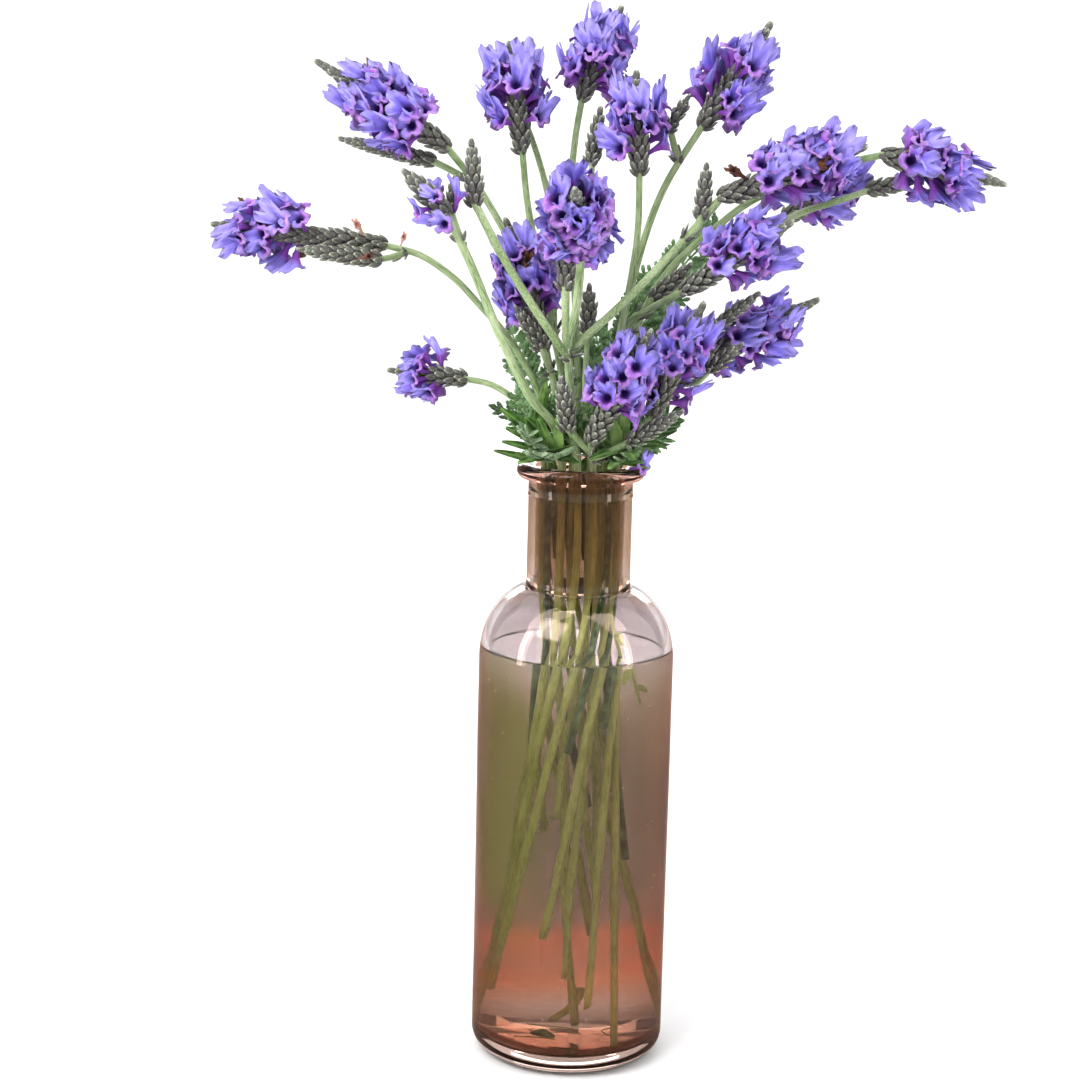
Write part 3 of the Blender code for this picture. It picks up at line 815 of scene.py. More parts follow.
@dataclass(frozen=True)
class CalyxFinish:
    """A felted calyx: grey-green, with pale ribs, edges and tip, and near-black painted shade at its root
    and in the furrows between its ribs.

    Args:
        name: The material's name.
        root: The near-black painted shade at the calyces' roots, between them, in the furrows of their
            ribs and on the spike's core.
        body: The grey-green colour of the back.
        edge: The pale colour of edges and tip.
        flush: The purplish colour that some calyces have more of.
        felt: How it takes the light.
    """

    name: str = "felted_calyx"
    root: Colour = (0.018, 0.012, 0.016)
    body: Colour = (0.085, 0.11, 0.06)
    edge: Colour = (0.74, 0.77, 0.65)
    flush: Colour = (0.10, 0.06, 0.09)
    felt: Felt = Felt(0.9, 0.15, 0.2, 0.5, (0.85, 0.86, 0.78))

    def build(self) -> Material:
        """Makes the material.

        Returns:
            The material.
        """
        graph = Graph(self.name)
        ribs = graph.fibres(9, 1.5)
        reach = graph.value(REACH)
        # Painted shade: the lower part of each calyx, where the next ones overlap it, is near-black.
        stops = [(0.46, self.root), (0.68, self.body), (0.84, self.body), (0.97, self.edge)]
        outer = graph.times(graph.maths("POWER", reach, 2.0), 0.95)
        rim = graph.times(graph.maths("POWER", graph.value(SIDE), 3.0), outer)
        colour = graph.blend(rim, graph.ramp(reach, stops), self.edge)
        colour = graph.blend(graph.times(graph.band(ribs, (0.42, 0.62)), 0.45), colour, self.edge)
        # Painted shade: the furrows between the ribs darken towards the near-black root colour.
        groove_shade = graph.times(graph.less(1.0, graph.band(ribs, (0.34, 0.46))), 0.6)
        colour = graph.blend(groove_shade, colour, self.root)
        colour = graph.blend(graph.times(graph.value(TONE), 0.35), colour, self.flush)
        relief = graph.plus(graph.noise(2600, 1), graph.times(ribs, 2.0))
        return graph.felted(colour, self.felt, graph.bump(relief, 0.6, 0.0003))


@dataclass(frozen=True)
class PetalFinish:
    """A thin violet petal.

    Args:
        name: The material's name.
        throat: The near-black violet inside the throat, which is painted shade there, and the colour of
            the lobes' veins.
        lower: The magenta of the lower lip.
        lower_edge: Its paler edges.
        upper: The periwinkle of the upper lip.
        upper_edge: Its paler edges.
        tube: The darker colour of the tube's root, painted shade low in the head.
        brown: The colour of a withered floret.
        papery: The colour of a dried one.
        limb: How the lips' colours take over from the tube's painted shade and give way to the throat's.
        felt: How it takes the light.
    """

    name: str = "violet_petals"
    throat: Colour = (0.035, 0.008, 0.14)
    lower: Colour = (0.30, 0.09, 0.48)
    lower_edge: Colour = (0.54, 0.33, 0.73)
    upper: Colour = (0.20, 0.15, 0.70)
    upper_edge: Colour = (0.48, 0.42, 0.94)
    tube: Colour = (0.17, 0.045, 0.30)
    brown: Colour = (0.16, 0.07, 0.04)
    papery: Colour = (0.62, 0.36, 0.27)
    limb: Stops = ((0.28, BLACK), (0.38, WHITE), (0.60, WHITE), (0.67, (0.4, 0.4, 0.4)), (0.74, BLACK))
    felt: Felt = Felt(0.6, 0.25, 0.25, 0.4, (0.8, 0.75, 1))

    def build(self) -> Material:
        """Makes the material.

        Returns:
            The material.
        """
        graph = Graph(self.name)
        reach = graph.times(graph.value(REACH), 0.5)
        side = graph.value(SIDE)
        deep = graph.blend(side, self.lower, self.upper)
        pale = graph.blend(side, self.lower_edge, self.upper_edge)
        tone = graph.plus(graph.times(graph.value(TONE), 0.45), graph.times(graph.noise(420, 2), 0.4))
        rim = graph.times(graph.band(reach, (0.40, 0.50, 0.50, 0.56)), 0.8)
        lip = graph.blend(rim, graph.blend(tone, deep, pale), pale)
        vein = graph.times(graph.maths("POWER", graph.value(CREST), 5.0), 0.3)
        lip = graph.blend(vein, lip, self.throat)
        # Painted shade: the tube's root and the inside of the throat are darker than the lips.
        stops = [(0.0, self.tube), (0.3, self.lower), (0.5, self.lower), (0.62, self.throat)]
        colour = graph.blend(graph.ramp(reach, self.limb), graph.ramp(reach, stops), lip)
        for least, dried in (((1 + WITHERED) / 2, self.brown), ((WITHERED + PAPERY) / 2, self.papery)):
            colour = graph.blend(graph.maths("GREATER_THAN", graph.value(TONE), least), colour, dried)
        return graph.felted(colour, self.felt, graph.bump(graph.noise(1500, 2), 0.35, 0.0004))


@dataclass(frozen=True)
class LeafFinish:
    """A soft leaf with a pale midrib.

    Args:
        name: The material's name.
        deep: The darkest green.
        body: The main green.
        light: The green of edges and of young parts.
        lining: How strongly the midrib and the edges stand out.
        felt: How it takes the light.
    """

    name: str
    deep: Colour
    body: Colour
    light: Colour
    lining: float = 0.6
    felt: Felt = Felt(0.6, 0.3, 0.2, 0.5, (0.8, 0.9, 0.7))

    def build(self) -> Material:
        """Makes the material.

        Returns:
            The material.
        """
        graph = Graph(self.name)
        side = graph.value(SIDE)
        young = graph.times(graph.less(graph.value(TONE), 0.5), 0.3)
        level = graph.plus(graph.noise(260, 4), young)
        colour = graph.ramp(level, [(0.32, self.deep), (0.5, self.body), (0.72, self.light)])
        rib = graph.less(1.0, graph.times(side, 3.5), clamp=True)
        rim = graph.times(graph.maths("POWER", side, 12.0), 0.8)
        line = graph.times(graph.maths("MAXIMUM", rib, rim), self.lining)
        colour = graph.blend(line, colour, self.light)
        return graph.felted(colour, self.felt, graph.bump(graph.noise(2200, 2), 0.4, 0.0003))


# The deep, main and light green of each kind of leaf.
GREENS = {
    LANCE: ((0.02, 0.06, 0.008), (0.07, 0.17, 0.025), (0.28, 0.42, 0.14)),
    FERN: ((0.03, 0.08, 0.02), (0.09, 0.18, 0.06), (0.28, 0.42, 0.22)),
    SILVER: ((0.10, 0.16, 0.08), (0.21, 0.30, 0.17), (0.44, 0.53, 0.36)),
    BROAD: ((0.03, 0.09, 0.02), (0.09, 0.20, 0.06), (0.32, 0.46, 0.25)),
}


@dataclass(frozen=True)
class FloorFinish:
    """A plain pale studio floor.

    Args:
        name: The material's name.
        colour: The floor's colour.
        wall: The colour that it rises to.
        brightening: How fast that happens, per metre of height.
        grain: How pale the darker flecks are, against the colour.
    """

    name: str = "pale_floor"
    colour: Colour = (0.88, 0.88, 0.88)
    wall: Colour = (0.99, 0.99, 0.99)
    brightening: float = 3.0
    grain: float = 0.985

    def build(self) -> Material:
        """Makes the material.

        Returns:
            The material.
        """
        graph = Graph(self.name)
        shade = tuple(part * self.grain for part in self.colour)
        tint = graph.ramp(graph.noise(30, 0), [(0.3, shade), (0.7, self.colour)])
        high = graph.maths("MULTIPLY", graph.height(), self.brightening, clamp=True)
        tint = graph.blend(high, tint, self.wall)
        return graph.finished({"Base Color": tint, "Roughness": 0.9, "Specular IOR Level": 0.1})


@dataclass
class Finishes:
    """The materials of the object's pieces."""

    glass: Material = field(default_factory=GlassFinish().build)
    water: Material = field(default_factory=WaterFinish().build)
    air: Material = field(default_factory=AirFinish().build)
    stem: Material = field(default_factory=StemFinish().build)
    calyx: Material = field(default_factory=CalyxFinish().build)
    petal: Material = field(default_factory=PetalFinish().build)
    leaves: dict[LeafKind, Material] = field(default_factory=dict)

    def __post_init__(self) -> None:
        """Makes a material for each kind of leaf."""
        for kind, greens in GREENS.items():
            self.leaves[kind] = LeafFinish(f"{kind.name.lower()}_leaf", *greens).build()


# Bottle and water


def arc(centre: Pair, size: Pair, start: float, end: float, steps: int) -> list[Pair]:
    """Points of an ellipse's arc about a centre, with angles in degrees from the outward direction."""
    turns = [math.radians(start + (end - start) * step / steps) for step in range(steps + 1)]
    return [(centre[0] + size[0] * math.cos(turn), centre[1] + size[1] * math.sin(turn)) for turn in turns]


def turned(profile: Sequence[Pair], steps: int) -> Shape:
    """A shape turned round the Z axis from a profile in millimetres that starts and ends on the axis.

    Args:
        profile: Radius and height of its points.
        steps: Faces round the axis.

    Returns:
        The shape.
    """
    shape = Shape()
    points = [shape.bm.verts.new((radius * MM, 0, height * MM)) for radius, height in profile]
    edges = [shape.bm.edges.new(pair) for pair in zip(points, points[1:])]
    geom = points + edges
    bmesh.ops.spin(shape.bm, geom=geom, axis=(0, 0, 1), angle=math.tau, steps=steps, use_merge=True)
    bmesh.ops.remove_doubles(shape.bm, verts=shape.bm.verts, dist=1e-7)
    return shape


@dataclass
class Bottle:
    """The bottle: thick foot, straight body, round shoulder, straight neck and a rolled lip.

    Args:
        radius: The body's outer radius.
        wall: The body's wall.
        floor: The height of the floor at the wall.
        heel: The radius of the heel's rounding outside.
        inner_heel: The same inside.
        shoulder: The height where the shoulder starts.
        neck: Radius and height of points up the outside of the neck.
        seam: The same for the mould line round the neck and the foot of the lip.
        mouth: The same from the lip's top down the inside of the neck.
        ruffled: The heights between which the outside is uneven.
        fading: The height over which that begins and ends.
        waves: How high, how many round the bottle and how steep the waves are that make it uneven.
        waviness: How uneven it is.
        steps: Faces round the axis.
    """

    radius: float = 32.0
    wall: float = 2.75
    floor: float = 6.0
    heel: float = 7.0
    inner_heel: float = 5.0
    shoulder: float = 135.0
    neck: Sequence[Pair] = (
        (17.25, 159.6), (17.05, 160.4), (17, 163), (17, 176), (17, 188.6), (17.05, 189.2),
    )
    seam: Sequence[Pair] = (
        (17.2, 189.5), (17.25, 189.8), (17.2, 190.1), (17.05, 190.4), (17.05, 194.3), (17.25, 194.9),
    )
    mouth: Sequence[Pair] = (
        (16.6, 199.9), (15.5, 199.6), (14.8, 199.1), (14.5, 198.3), (14.5, 190), (14.5, 175), (14.5, 164),
    )
    ruffled: Pair = (20, 125)
    fading: float = 15
    waves: Sequence[Point] = ((1, 3, 31), (0.6, 8, -23), (0.4, 15, 12))
    waviness: float = 0.07
    steps: int = 192

    def inside(self, grow: float) -> list[Pair]:
        """The inside from the middle of the floor to the shoulder's start.

        Args:
            grow: How far it is moved outwards.

        Returns:
            Radius and height of its points.
        """
        corner, size = self.inner_heel, self.inner_heel + grow
        heel = arc((self.radius - self.wall - corner, self.floor + corner), (size, size), -90, 0, 10)
        dome = [(0, 1.2), (8, 1.0), (16, 0.4)]
        return [(radius, self.floor + height - grow) for radius, height in dome] + heel

    def outline(self) -> list[Pair]:
        """The whole profile, from the middle of the underside round the lip to the middle of the floor.

        Returns:
            Radius and height of its points.
        """
        foot = [(0, 0), (12, 0), (20, 0)]
        heel = arc((self.radius - self.heel, self.heel), (self.heel, self.heel), -90, 0, 12)
        body = [(self.radius, height) for height in range(20, 130, 7)]
        shoulder = arc((14, self.shoulder), (self.radius - 14, 24.4), 0, 80, 22)
        lip = arc((18.5, 197.55), (2.5, 2.45), -95, 90, 15)
        inner = arc((12.5, self.shoulder), (self.radius - self.wall - 12.5, 22.15), 83, 0, 20)
        tube = [(self.radius - self.wall, height) for height in (120, 90, 60, 30)]
        outside = foot + heel + body + shoulder + [*self.neck, *self.seam] + lip
        return outside + [*self.mouth] + inner + tube + self.inside(0)[::-1]

    def ruffle(self, shape: Shape) -> None:
        """Makes the outside of the body a little uneven, as blown glass is.

        Args:
            shape: The turned bottle.
        """
        low, high = self.ruffled
        for vert in shape.bm.verts:
            height = vert.co.z / MM
            if math.hypot(vert.co.x, vert.co.y) > (self.radius - 0.5) * MM and low < height < high:
                turn = math.atan2(vert.co.y, vert.co.x)
                fade = min(1, (height - low) / self.fading, (high - height) / self.fading)
                wave = sum(size * math.sin(many * turn + height / rise) for size, many, rise in self.waves)
                grow = 1 + self.waviness * fade * wave / self.radius
                vert.co.x *= grow
                vert.co.y *= grow

    def build(self, finish: Material) -> None:
        """Turns the bottle and puts it in the scene.

        Args:
            finish: The glass.
        """
        shape = turned(self.outline(), self.steps)
        self.ruffle(shape)
        shape.piece("bottle_of_tinted_glass", finish, Slot.GLASS, "glass_bottle")


@dataclass
class Water:
    """The water, which reaches into the wall by a hair so that light bends once where it meets the glass.

    Args:
        bottle: The bottle that holds it.
        level: The water's level.
        reach: How far it reaches into the wall.
        edge: Distance from the wall and height above the level of points along its risen edge.
        steps: Faces round the axis.
    """

    bottle: Bottle
    level: float = 138.5
    reach: float = 0.12
    edge: Sequence[Pair] = ((0.2, -0.1), (0.25, 0.4), (0.6, 0.25), (1.4, 0.08), (2.6, 0.02))
    steps: int = 192

    def build(self, finish: Material) -> None:
        """Turns the water with its risen edge and puts it in the scene.

        Args:
            finish: The water's material.
        """
        wall = self.bottle.radius - self.bottle.wall + self.reach
        sides = [(wall, height) for height in (30, 60, 90, 120, self.bottle.shoulder)]
        edge = [(wall - inwards, self.level + rise) for inwards, rise in self.edge]
        top = [(radius, self.level) for radius in (20, 10, 0)]
        shape = turned(self.bottle.inside(self.reach) + sides + edge + top, self.steps)
        shape.piece("water_in_bottle", finish, Slot.WATER, "water")


# Florets and spikes


@dataclass(frozen=True)
class FloretForm:
    """The shape of one two-lipped floret, whose tube runs along +Z and whose upper lip looks to +Y.

    Args:
        roots: Angles between the lobes at the throat, in degrees.
        ends: Angles between the lobes at their ends.
        depths: How far out the notches lie, against the lobe's reach.
        reaches: Length of each lobe: two of the upper lip, then three of the lower lip.
        per_lobe: Faces across a lobe.
        rings: Height, radius, share of the lobes, and reach value of each ring, from the root over the
            lobes' edge into the throat.
    """

    roots: tuple[float, ...] = (22, 90, 158, 218, 322, 382)
    ends: tuple[float, ...] = (44, 90, 136, 210, 330, 404)
    depths: tuple[float, ...] = (0.5, 0.78, 0.5, 0.66, 0.66, 0.5)
    reaches: tuple[float, ...] = (6.8, 6.8, 4.4, 4.2, 4.4)
    per_lobe: int = 6
    rings: tuple[tuple[float, float, float, float], ...] = (
        (0.0, 0.55, 0.0, 0.0),
        (3.0, 0.72, 0.0, 0.3),
        (5.0, 1.15, 0.0, 0.5),
        (6.7, 2.05, 0.1, 0.7),
        (7.5, 0.64, 0.8, 0.88),
        (7.9, 1.00, 1.0, 1.0),
        (7.75, 0.62, 0.8, 1.12),
        (7.0, 1.85, 0.1, 1.3),
        (5.6, 1.00, 0.0, 1.5),
        (4.2, 0.45, 0.0, 1.9),
    )

    def template(self, seed: int, openness: float = 1.0) -> Mesh:
        """One floret's mesh.

        Args:
            seed: Seed of its small irregularities.
            openness: 1 for an open floret, less for one that is closing.

        Returns:
            The mesh.
        """
        draw = Random(seed)
        shape = Shape()
        count = len(self.reaches) * self.per_lobe
        wave = [draw.uniform(0, math.tau) for _ in self.reaches]
        curl = [draw.uniform(-0.6, 0.9) for _ in self.reaches]
        size = [draw.uniform(0.9, 1.08) for _ in self.reaches]
        raised = draw.uniform(0.35, 1.25)
        for vert in shape.rings(len(self.rings), count):
            height, radius, lobed, reach = self.rings[round(vert.co.z)]
            index = round(math.atan2(vert.co.y, vert.co.x) / math.tau * count) % count
            lobe, step = divmod(index, self.per_lobe)
            share = step / self.per_lobe
            root = self.roots[lobe] + (self.roots[lobe + 1] - self.roots[lobe]) * share
            end = self.ends[lobe] + (self.ends[lobe + 1] - self.ends[lobe]) * share
            turn = math.radians(root + (end - root) * lobed)
            crest = 4 * share * (1 - share)
            upper = max(0.0, math.sin(turn))
            out = radius
            if lobed > 0.5:
                depth = self.depths[lobe] + (self.depths[lobe + 1] - self.depths[lobe]) * share
                out = radius * self.reaches[lobe] * size[lobe] * openness
                out *= depth + (1 - depth) * crest ** 0.5
                edge = max(0.0, radius - 0.4) * 1.7
                ruffle = 0.5 * math.sin(wave[lobe] + share * math.tau * 1.6)
                beyond = max(0.0, out - 2)
                height += edge * (curl[lobe] * crest + ruffle)
                height += beyond * (raised * upper - 0.3 * (1 - upper))
                height += (1 - openness) * out * 0.8
            bend = 0.35 * math.sin(math.pi * min(1, height / 8.5))
            vert[shape.layers[REACH]] = reach
            vert[shape.layers[SIDE]] = min(1.0, max(0.0, 0.45 + 0.9 * math.sin(turn)))
            vert[shape.layers[CREST]] = crest * (1 if lobed else 0.3)
            vert.co = Vector((out * math.cos(turn), out * math.sin(turn) + bend, height)) * MM
        return shape.mesh("floret_template")


@dataclass(frozen=True)
class CalyxForm:
    """The shape of one ribbed, pointed calyx: +Z to its tip, +Y away from the spike.

    Args:
        length: Its length.
        width: Its width.
        thickness: Its thickness.
    """

    length: float = 4.9
    width: float = 2.3
    thickness: float = 2.1

    def template(self, seed: int) -> Mesh:
        """One calyx's mesh.

        Args:
            seed: Seed of its small irregularities.

        Returns:
            The mesh.
        """
        draw = Random(seed)
        bend = draw.uniform(0.1, 0.35)
        heights = [0.0, 0.22, 0.45, 0.66, 0.84, 1.0]
        points = [metres((0, bend * t * t, self.length * t)) for t in heights]

        def section(share: float, turn: float) -> Pair:
            """The calyx's section, with five ribs and a flatter back.

            Args:
                share: Share of the path.
                turn: Angle round it.

            Returns:
                Half width and half thickness, in millimetres.
            """
            full = math.sin(math.pi * (0.16 + 0.80 * share ** 0.85)) ** 0.8
            rib = 1 + 0.07 * math.cos(5 * turn)
            back = 0.5 if math.sin(turn) < 0 else 1
            return self.width / 2 * full * rib, self.thickness / 2 * full * rib * back

        shape = Shape()
        shape.tube(points, section, 8, 0, facing=Vector((0, 1, 0)))
        return shape.mesh("calyx_template")


@dataclass
class Patterns:
    """The shared meshes that heads and spikes are stamped from."""

    florets: list[Mesh] = field(init=False)
    closing: list[Mesh] = field(init=False)
    calyces: list[Mesh] = field(init=False)

    def __post_init__(self) -> None:
        """Makes every pattern."""
        self.florets = [FloretForm().template(seed) for seed in range(6)]
        self.closing = [FloretForm().template(seed, 0.45) for seed in (20, 21)]
        self.calyces = [CalyxForm().template(seed) for seed in range(3)]

    def clear(self) -> None:
        """Removes the patterns once they are used."""
        for mesh in self.florets + self.closing + self.calyces:
            bpy.data.meshes.remove(mesh)


@dataclass
class Spike:
    """A braided column of overlapping calyces.

    Args:
        base: Where the stem ends.
        tip: The spike's tip.
        width: Its full width in millimetres.
        patterns: The shared meshes.
        draw: The seeded source of its irregularities.
        full_width: The width of a spike whose calyces have their natural size.
        slimness: The core's width against the spike's.
        pitch: Distance between its rows.
        around: Calyces in a row.
        hanging: Calyces that hang below the lowest row.
    """

    base: Vector
    tip: Vector
    width: float
    patterns: Patterns
    draw: Random
    full_width: float = 7.9
    slimness: float = 0.6
    pitch: float = 2.5
    around: int = 6
    hanging: int = 3

    def stamp(self, shape: Shape, place: Matrix, size: float) -> None:
        """Stamps one of the calyces into a shape."""
        calyx = self.draw.choice(self.patterns.calyces)
        shape.stamp(calyx, place @ Matrix.Scale(size, 4), self.draw.random())

    def build(self, shape: Shape) -> None:
        """Stamps the spike's core and calyces into a shape.

        Args:
            shape: The shape that it is added to.
        """
        length = (self.tip - self.base).length / MM
        frame = frames_along([self.base, self.tip])[0]
        core = [self.base.lerp(self.tip, share) for share in (0, 0.1, 0.3, 0.6, 0.85, 0.95)]
        widest = self.width / 2 * self.slimness

        def section(share: float, turn: float) -> Pair:
            """The core's round section."""
            wide = widest * min(1, 0.55 + 2.5 * share, 2.6 * (1.05 - share))
            return wide, wide

        # Painted shade: with its reach kept below 0.3, the core takes the calyx finish's near-black root
        # colour, standing for the shade deep between the calyces.
        shape.tube(core, section, 8, 0, end=0.3)
        for index in range(self.hanging):
            turn = math.tau * index / self.hanging + self.draw.uniform(0, 1)
            lean = math.radians(self.draw.uniform(-48, -22))
            self.stamp(shape, standing(frame, -1.2, turn, 1.0, lean), 0.8)
        rows = max(3, round((length - 1) / self.pitch))
        scale = self.width / self.full_width
        for row in range(rows):
            share = row / (rows - 1)
            full = min(1.0, 1.3 * math.sin(math.pi * (0.2 + 0.7 * share)))
            out = widest * 0.72 * full * (1 - 0.35 * share)
            for index in range(self.around):
                turn = math.tau * (index + 0.5 * (row % 2)) / self.around + 0.05 * row
                lean = math.radians(26 - 30 * share ** 2 + self.draw.uniform(-5, 5))
                size = scale * (0.62 + 0.42 * full) * self.draw.uniform(0.92, 1.08)
                along = (length - 3.6 * size) * share + self.draw.uniform(-0.25, 0.25)
                self.stamp(shape, standing(frame, along, turn, out, -lean), size)
        size = scale * 0.9
        for turn in (0.0, math.pi):
            place = standing(frame, length - 4.6 * size, turn, 0, math.radians(-3))
            shape.stamp(self.patterns.calyces[0], place @ Matrix.Scale(size, 4), 0.0)


@dataclass
class FlowerHead:
    """The florets of one head, in staggered whorls round the flowering stretch of its spike.

    Args:
        stalk: The stalk that bears it.
        patterns: The shared meshes.
        seed: Seed of its irregularities.
        row_gap: Distance between whorls.
        root: Distance of the florets' roots from the spike's middle.
        drop: How far the whorls' roots lie below the stretch that their petals cover.
        overhang: How much longer that stretch is than the stretch of their roots.
        shortest: The least stretch of their roots.
        closing: Share of the florets that are closing.
        withered: Share of the florets that are withered.
        gap: How near to the bare direction a floret is left out, as a cosine.
    """

    stalk: Stalk
    patterns: Patterns
    seed: int
    row_gap: float = 4.3
    root: float = 1.9
    drop: float = 4.5
    overhang: float = 10.0
    shortest: float = 3.5
    closing: float = 0.1
    withered: float = 0.012
    gap: float = 0.75

    def build(self, finish: Material) -> int:
        """Makes the head.

        Args:
            finish: The petals' material.

        Returns:
            How many florets it has.
        """
        bloom = self.stalk.bloom
        draw = Random(700 + self.seed)
        base, tip = metres(self.stalk.points[-1]), metres(self.stalk.tip)
        length = (tip - base).length / MM
        low, high = bloom.start * length, bloom.end * length
        frame = frames_along([base, tip])[0]
        bare = (frame.inverted().to_3x3() @ Vector(bloom.bare)).normalized() if bloom.bare else None
        shape = Shape()
        span = max(self.shortest, high - low - self.overhang)
        rows = round(span / self.row_gap) + 1
        count = 0
        for row in range(rows):
            share = row / (rows - 1)
            for index in range(bloom.around):
                turn = math.tau * (index + 0.5 * (row % 2) + draw.uniform(-0.16, 0.16)) / bloom.around
                outward = Vector((math.cos(turn), math.sin(turn), 0))
                lean = math.radians(16 + 32 * share + draw.uniform(-13, 13))
                size = bloom.spread * draw.uniform(0.92, 1.2)
                along = (low + high) / 2 - self.drop + span * (share - 0.5) + draw.uniform(-1.3, 1.3)
                spin = math.radians(draw.uniform(-50, 50))
                tone, fate = draw.random(), draw.random()
                if bare and share < bloom.bare_until and outward.dot(bare) > self.gap:
                    continue
                meshes = self.patterns.closing if fate < self.closing else self.patterns.florets
                tone = WITHERED if fate < self.withered else tone
                root = frame @ Matrix.Rotation(turn, 4, "Z") @ moved(self.root, 0, along)
                pointing = Matrix.Rotation(math.pi / 2 - lean, 4, "Y") @ rotated("Z", 90)
                turning = Matrix.Rotation(spin, 4, "Z") @ Matrix.Scale(size, 4)
                shape.stamp(draw.choice(meshes), root @ pointing @ turning, tone)
                count += 1
        shape.piece("head_" + bloom.name, finish, Slot.PETAL, "florets_" + bloom.name)
        return count


@dataclass
class Rooted:
    """What stands in the bottle.

    Args:
        name: Its name, which its solid carries too.
        ring: The ring that it stands in.
        slot: Its place in the ring.
        reach_down: How far it reaches down its straight run, from 0 to 1.
        thickness: The thickness of its stem.
    """

    name: str
    ring: Ring
    slot: int
    reach_down: float
    thickness: float

    def stand(self) -> list[Vector]:
        """Its points inside the bottle.

        Returns:
            Its foot, the top of its straight run, and its place in the mouth.
        """
        slots, at_neck, at_floor = self.ring.value
        turn = math.tau * self.slot / slots
        low = turn + TWIST
        top = metres((at_neck * math.cos(turn), at_neck * math.sin(turn), RUN_TOP))
        foot = metres((at_floor * math.cos(low), at_floor * math.sin(low), FOOT_HEIGHT))
        return [top.lerp(foot, self.reach_down), top, Vector((top.x, top.y, MOUTH * MM))]


@dataclass
class LavenderPlant(Rooted):
    """A stem with its side branches, braided spikes and buds.

    Args:
        stalks: Its stem and side branches.
        branch_share: A branch's thickness against the stem's.
        slimness: The drawn stem's thickness against its nominal one.
        wet_share: How thick it is in the bottle, where the water magnifies it, against above.
        inside: The height in metres up to which that holds.
        spacing: Distance between the rings of its mesh.
    """

    stalks: Sequence[Stalk]
    branch_share: float = 0.78
    slimness: float = 0.92
    wet_share: float = 0.82
    inside: float = 0.19
    spacing: float = 3.0

    def stem(self, shape: Shape, stalk: Stalk, first: bool, draw: Random) -> None:
        """Adds one stem or branch with its squarish section and slightly swollen joints.

        Args:
            shape: The shape that it is added to.
            stalk: The stem or branch.
            first: Whether it is the rooted stem.
            draw: The seeded source of its irregularities.
        """
        points = [metres(point) for point in stalk.points]
        if first:
            foot, top, mouth = self.stand()
            sway = Vector((draw.uniform(-1, 1), draw.uniform(-1, 1), 0)) * MM
            run = [foot, foot.lerp(top, 0.3) + sway, foot.lerp(top, 0.6) - sway * 0.8]
            points = run + [top, mouth] + points
        radius = self.thickness / 2 * self.slimness * (1 if first else self.branch_share)
        path = smooth_path(points, self.spacing * MM)
        path.append(path[-1].lerp(metres(stalk.tip), 0.08))
        taper = 0.2 if first else 0.05
        joints = [draw.uniform(0.1, 0.9) for _ in range(4 if first else 1)]
        cut = draw.uniform(0.6, 1.6) if first else 0

        def section(share: float, turn: float) -> Pair:
            """The stem's squarish section, swollen at its joints.

            Args:
                share: Share of the path.
                turn: Angle round it.

            Returns:
                Half width and half thickness, in millimetres.
            """
            swell = sum(0.1 * math.exp(-(((share - joint) * len(path) / 1.1) ** 2)) for joint in joints)
            inside_glass = self.wet_share if path[round(share * (len(path) - 1))].z < self.inside else 1
            squarish = 1 + 0.06 * math.cos(4 * turn)
            wide = radius * inside_glass * (1 - taper * share) * squarish * (1 + swell)
            return wide, wide

        def slanted(share: float, turn: float) -> Pair:
            """The slant of the cut foot."""
            return 0, cut * math.sin(turn) if share == 0 else 0

        shape.tube(path, section, 12, draw.random(), slide=slanted)
        if first:
            self.fray(shape, path, draw)

    def fray(self, shape: Shape, path: list[Vector], draw: Random) -> None:
        """Adds a few torn fibres at the stem's cut foot.

        Args:
            shape: The shape that it is added to.
            path: The stem's path, from its foot.
            draw: The seeded source of its irregularities.
        """
        way = (path[0] - path[1]).normalized()
        for _ in range(draw.randint(1, 4)):
            aside = Vector((draw.uniform(-1, 1), draw.uniform(-1, 1), 0)) * MM
            length = draw.uniform(1.5, 3.5) * MM
            start = path[0] + aside * 0.8 - way * 1.5 * MM
            points = [start, start + way * (1.2 * MM + length * 0.5), start + way * length + aside * 1.4]
            shape.tube(smooth_path(points, 1.2 * MM), tapering((0.3, 0.3), (0.15, 0.15)), 5, 0.5)

    def bracts(self, shape: Shape, stalk: Stalk, patterns: Patterns, draw: Random) -> None:
        """Adds the small dry bracts where a branch leaves its stem.

        Args:
            shape: The shape that it is added to.
            stalk: The branch.
            patterns: The shared meshes.
            draw: The seeded source of its irregularities.
        """
        frame = frames_along([metres(point) for point in stalk.points[:2]])[0]
        for index in range(4):
            turn = math.tau * (index + draw.uniform(-0.3, 0.3)) / 4
            place = standing(frame, draw.uniform(-1, 1.5), turn, 0.9, math.radians(draw.uniform(-50, -15)))
            size = Matrix.Diagonal((0.7, 0.5, draw.uniform(0.7, 1.1), 1))
            shape.stamp(draw.choice(patterns.calyces), place @ size, draw.random())

    def build(self, patterns: Patterns, finishes: Finishes, seed: int) -> None:
        """Makes the plant's stems and, as a piece of their own, its spikes.

        Args:
            patterns: The shared meshes.
            finishes: The materials.
            seed: Seed of its irregularities.
        """
        draw = Random(300 + seed)
        stems = Shape()
        spikes = Shape()
        for number, stalk in enumerate(self.stalks):
            self.stem(stems, stalk, number == 0, draw)
            spike = Spike(metres(stalk.points[-1]), metres(stalk.tip), stalk.width, patterns, draw)
            spike.build(spikes)
            if number:
                self.bracts(spikes, stalk, patterns, draw)
        stems.piece("stems_" + self.name, finishes.stem, Slot.STEM, "stem_" + self.name)
        spikes.piece("spikes_" + self.name, finishes.calyx, Slot.STEM)


# Leaves


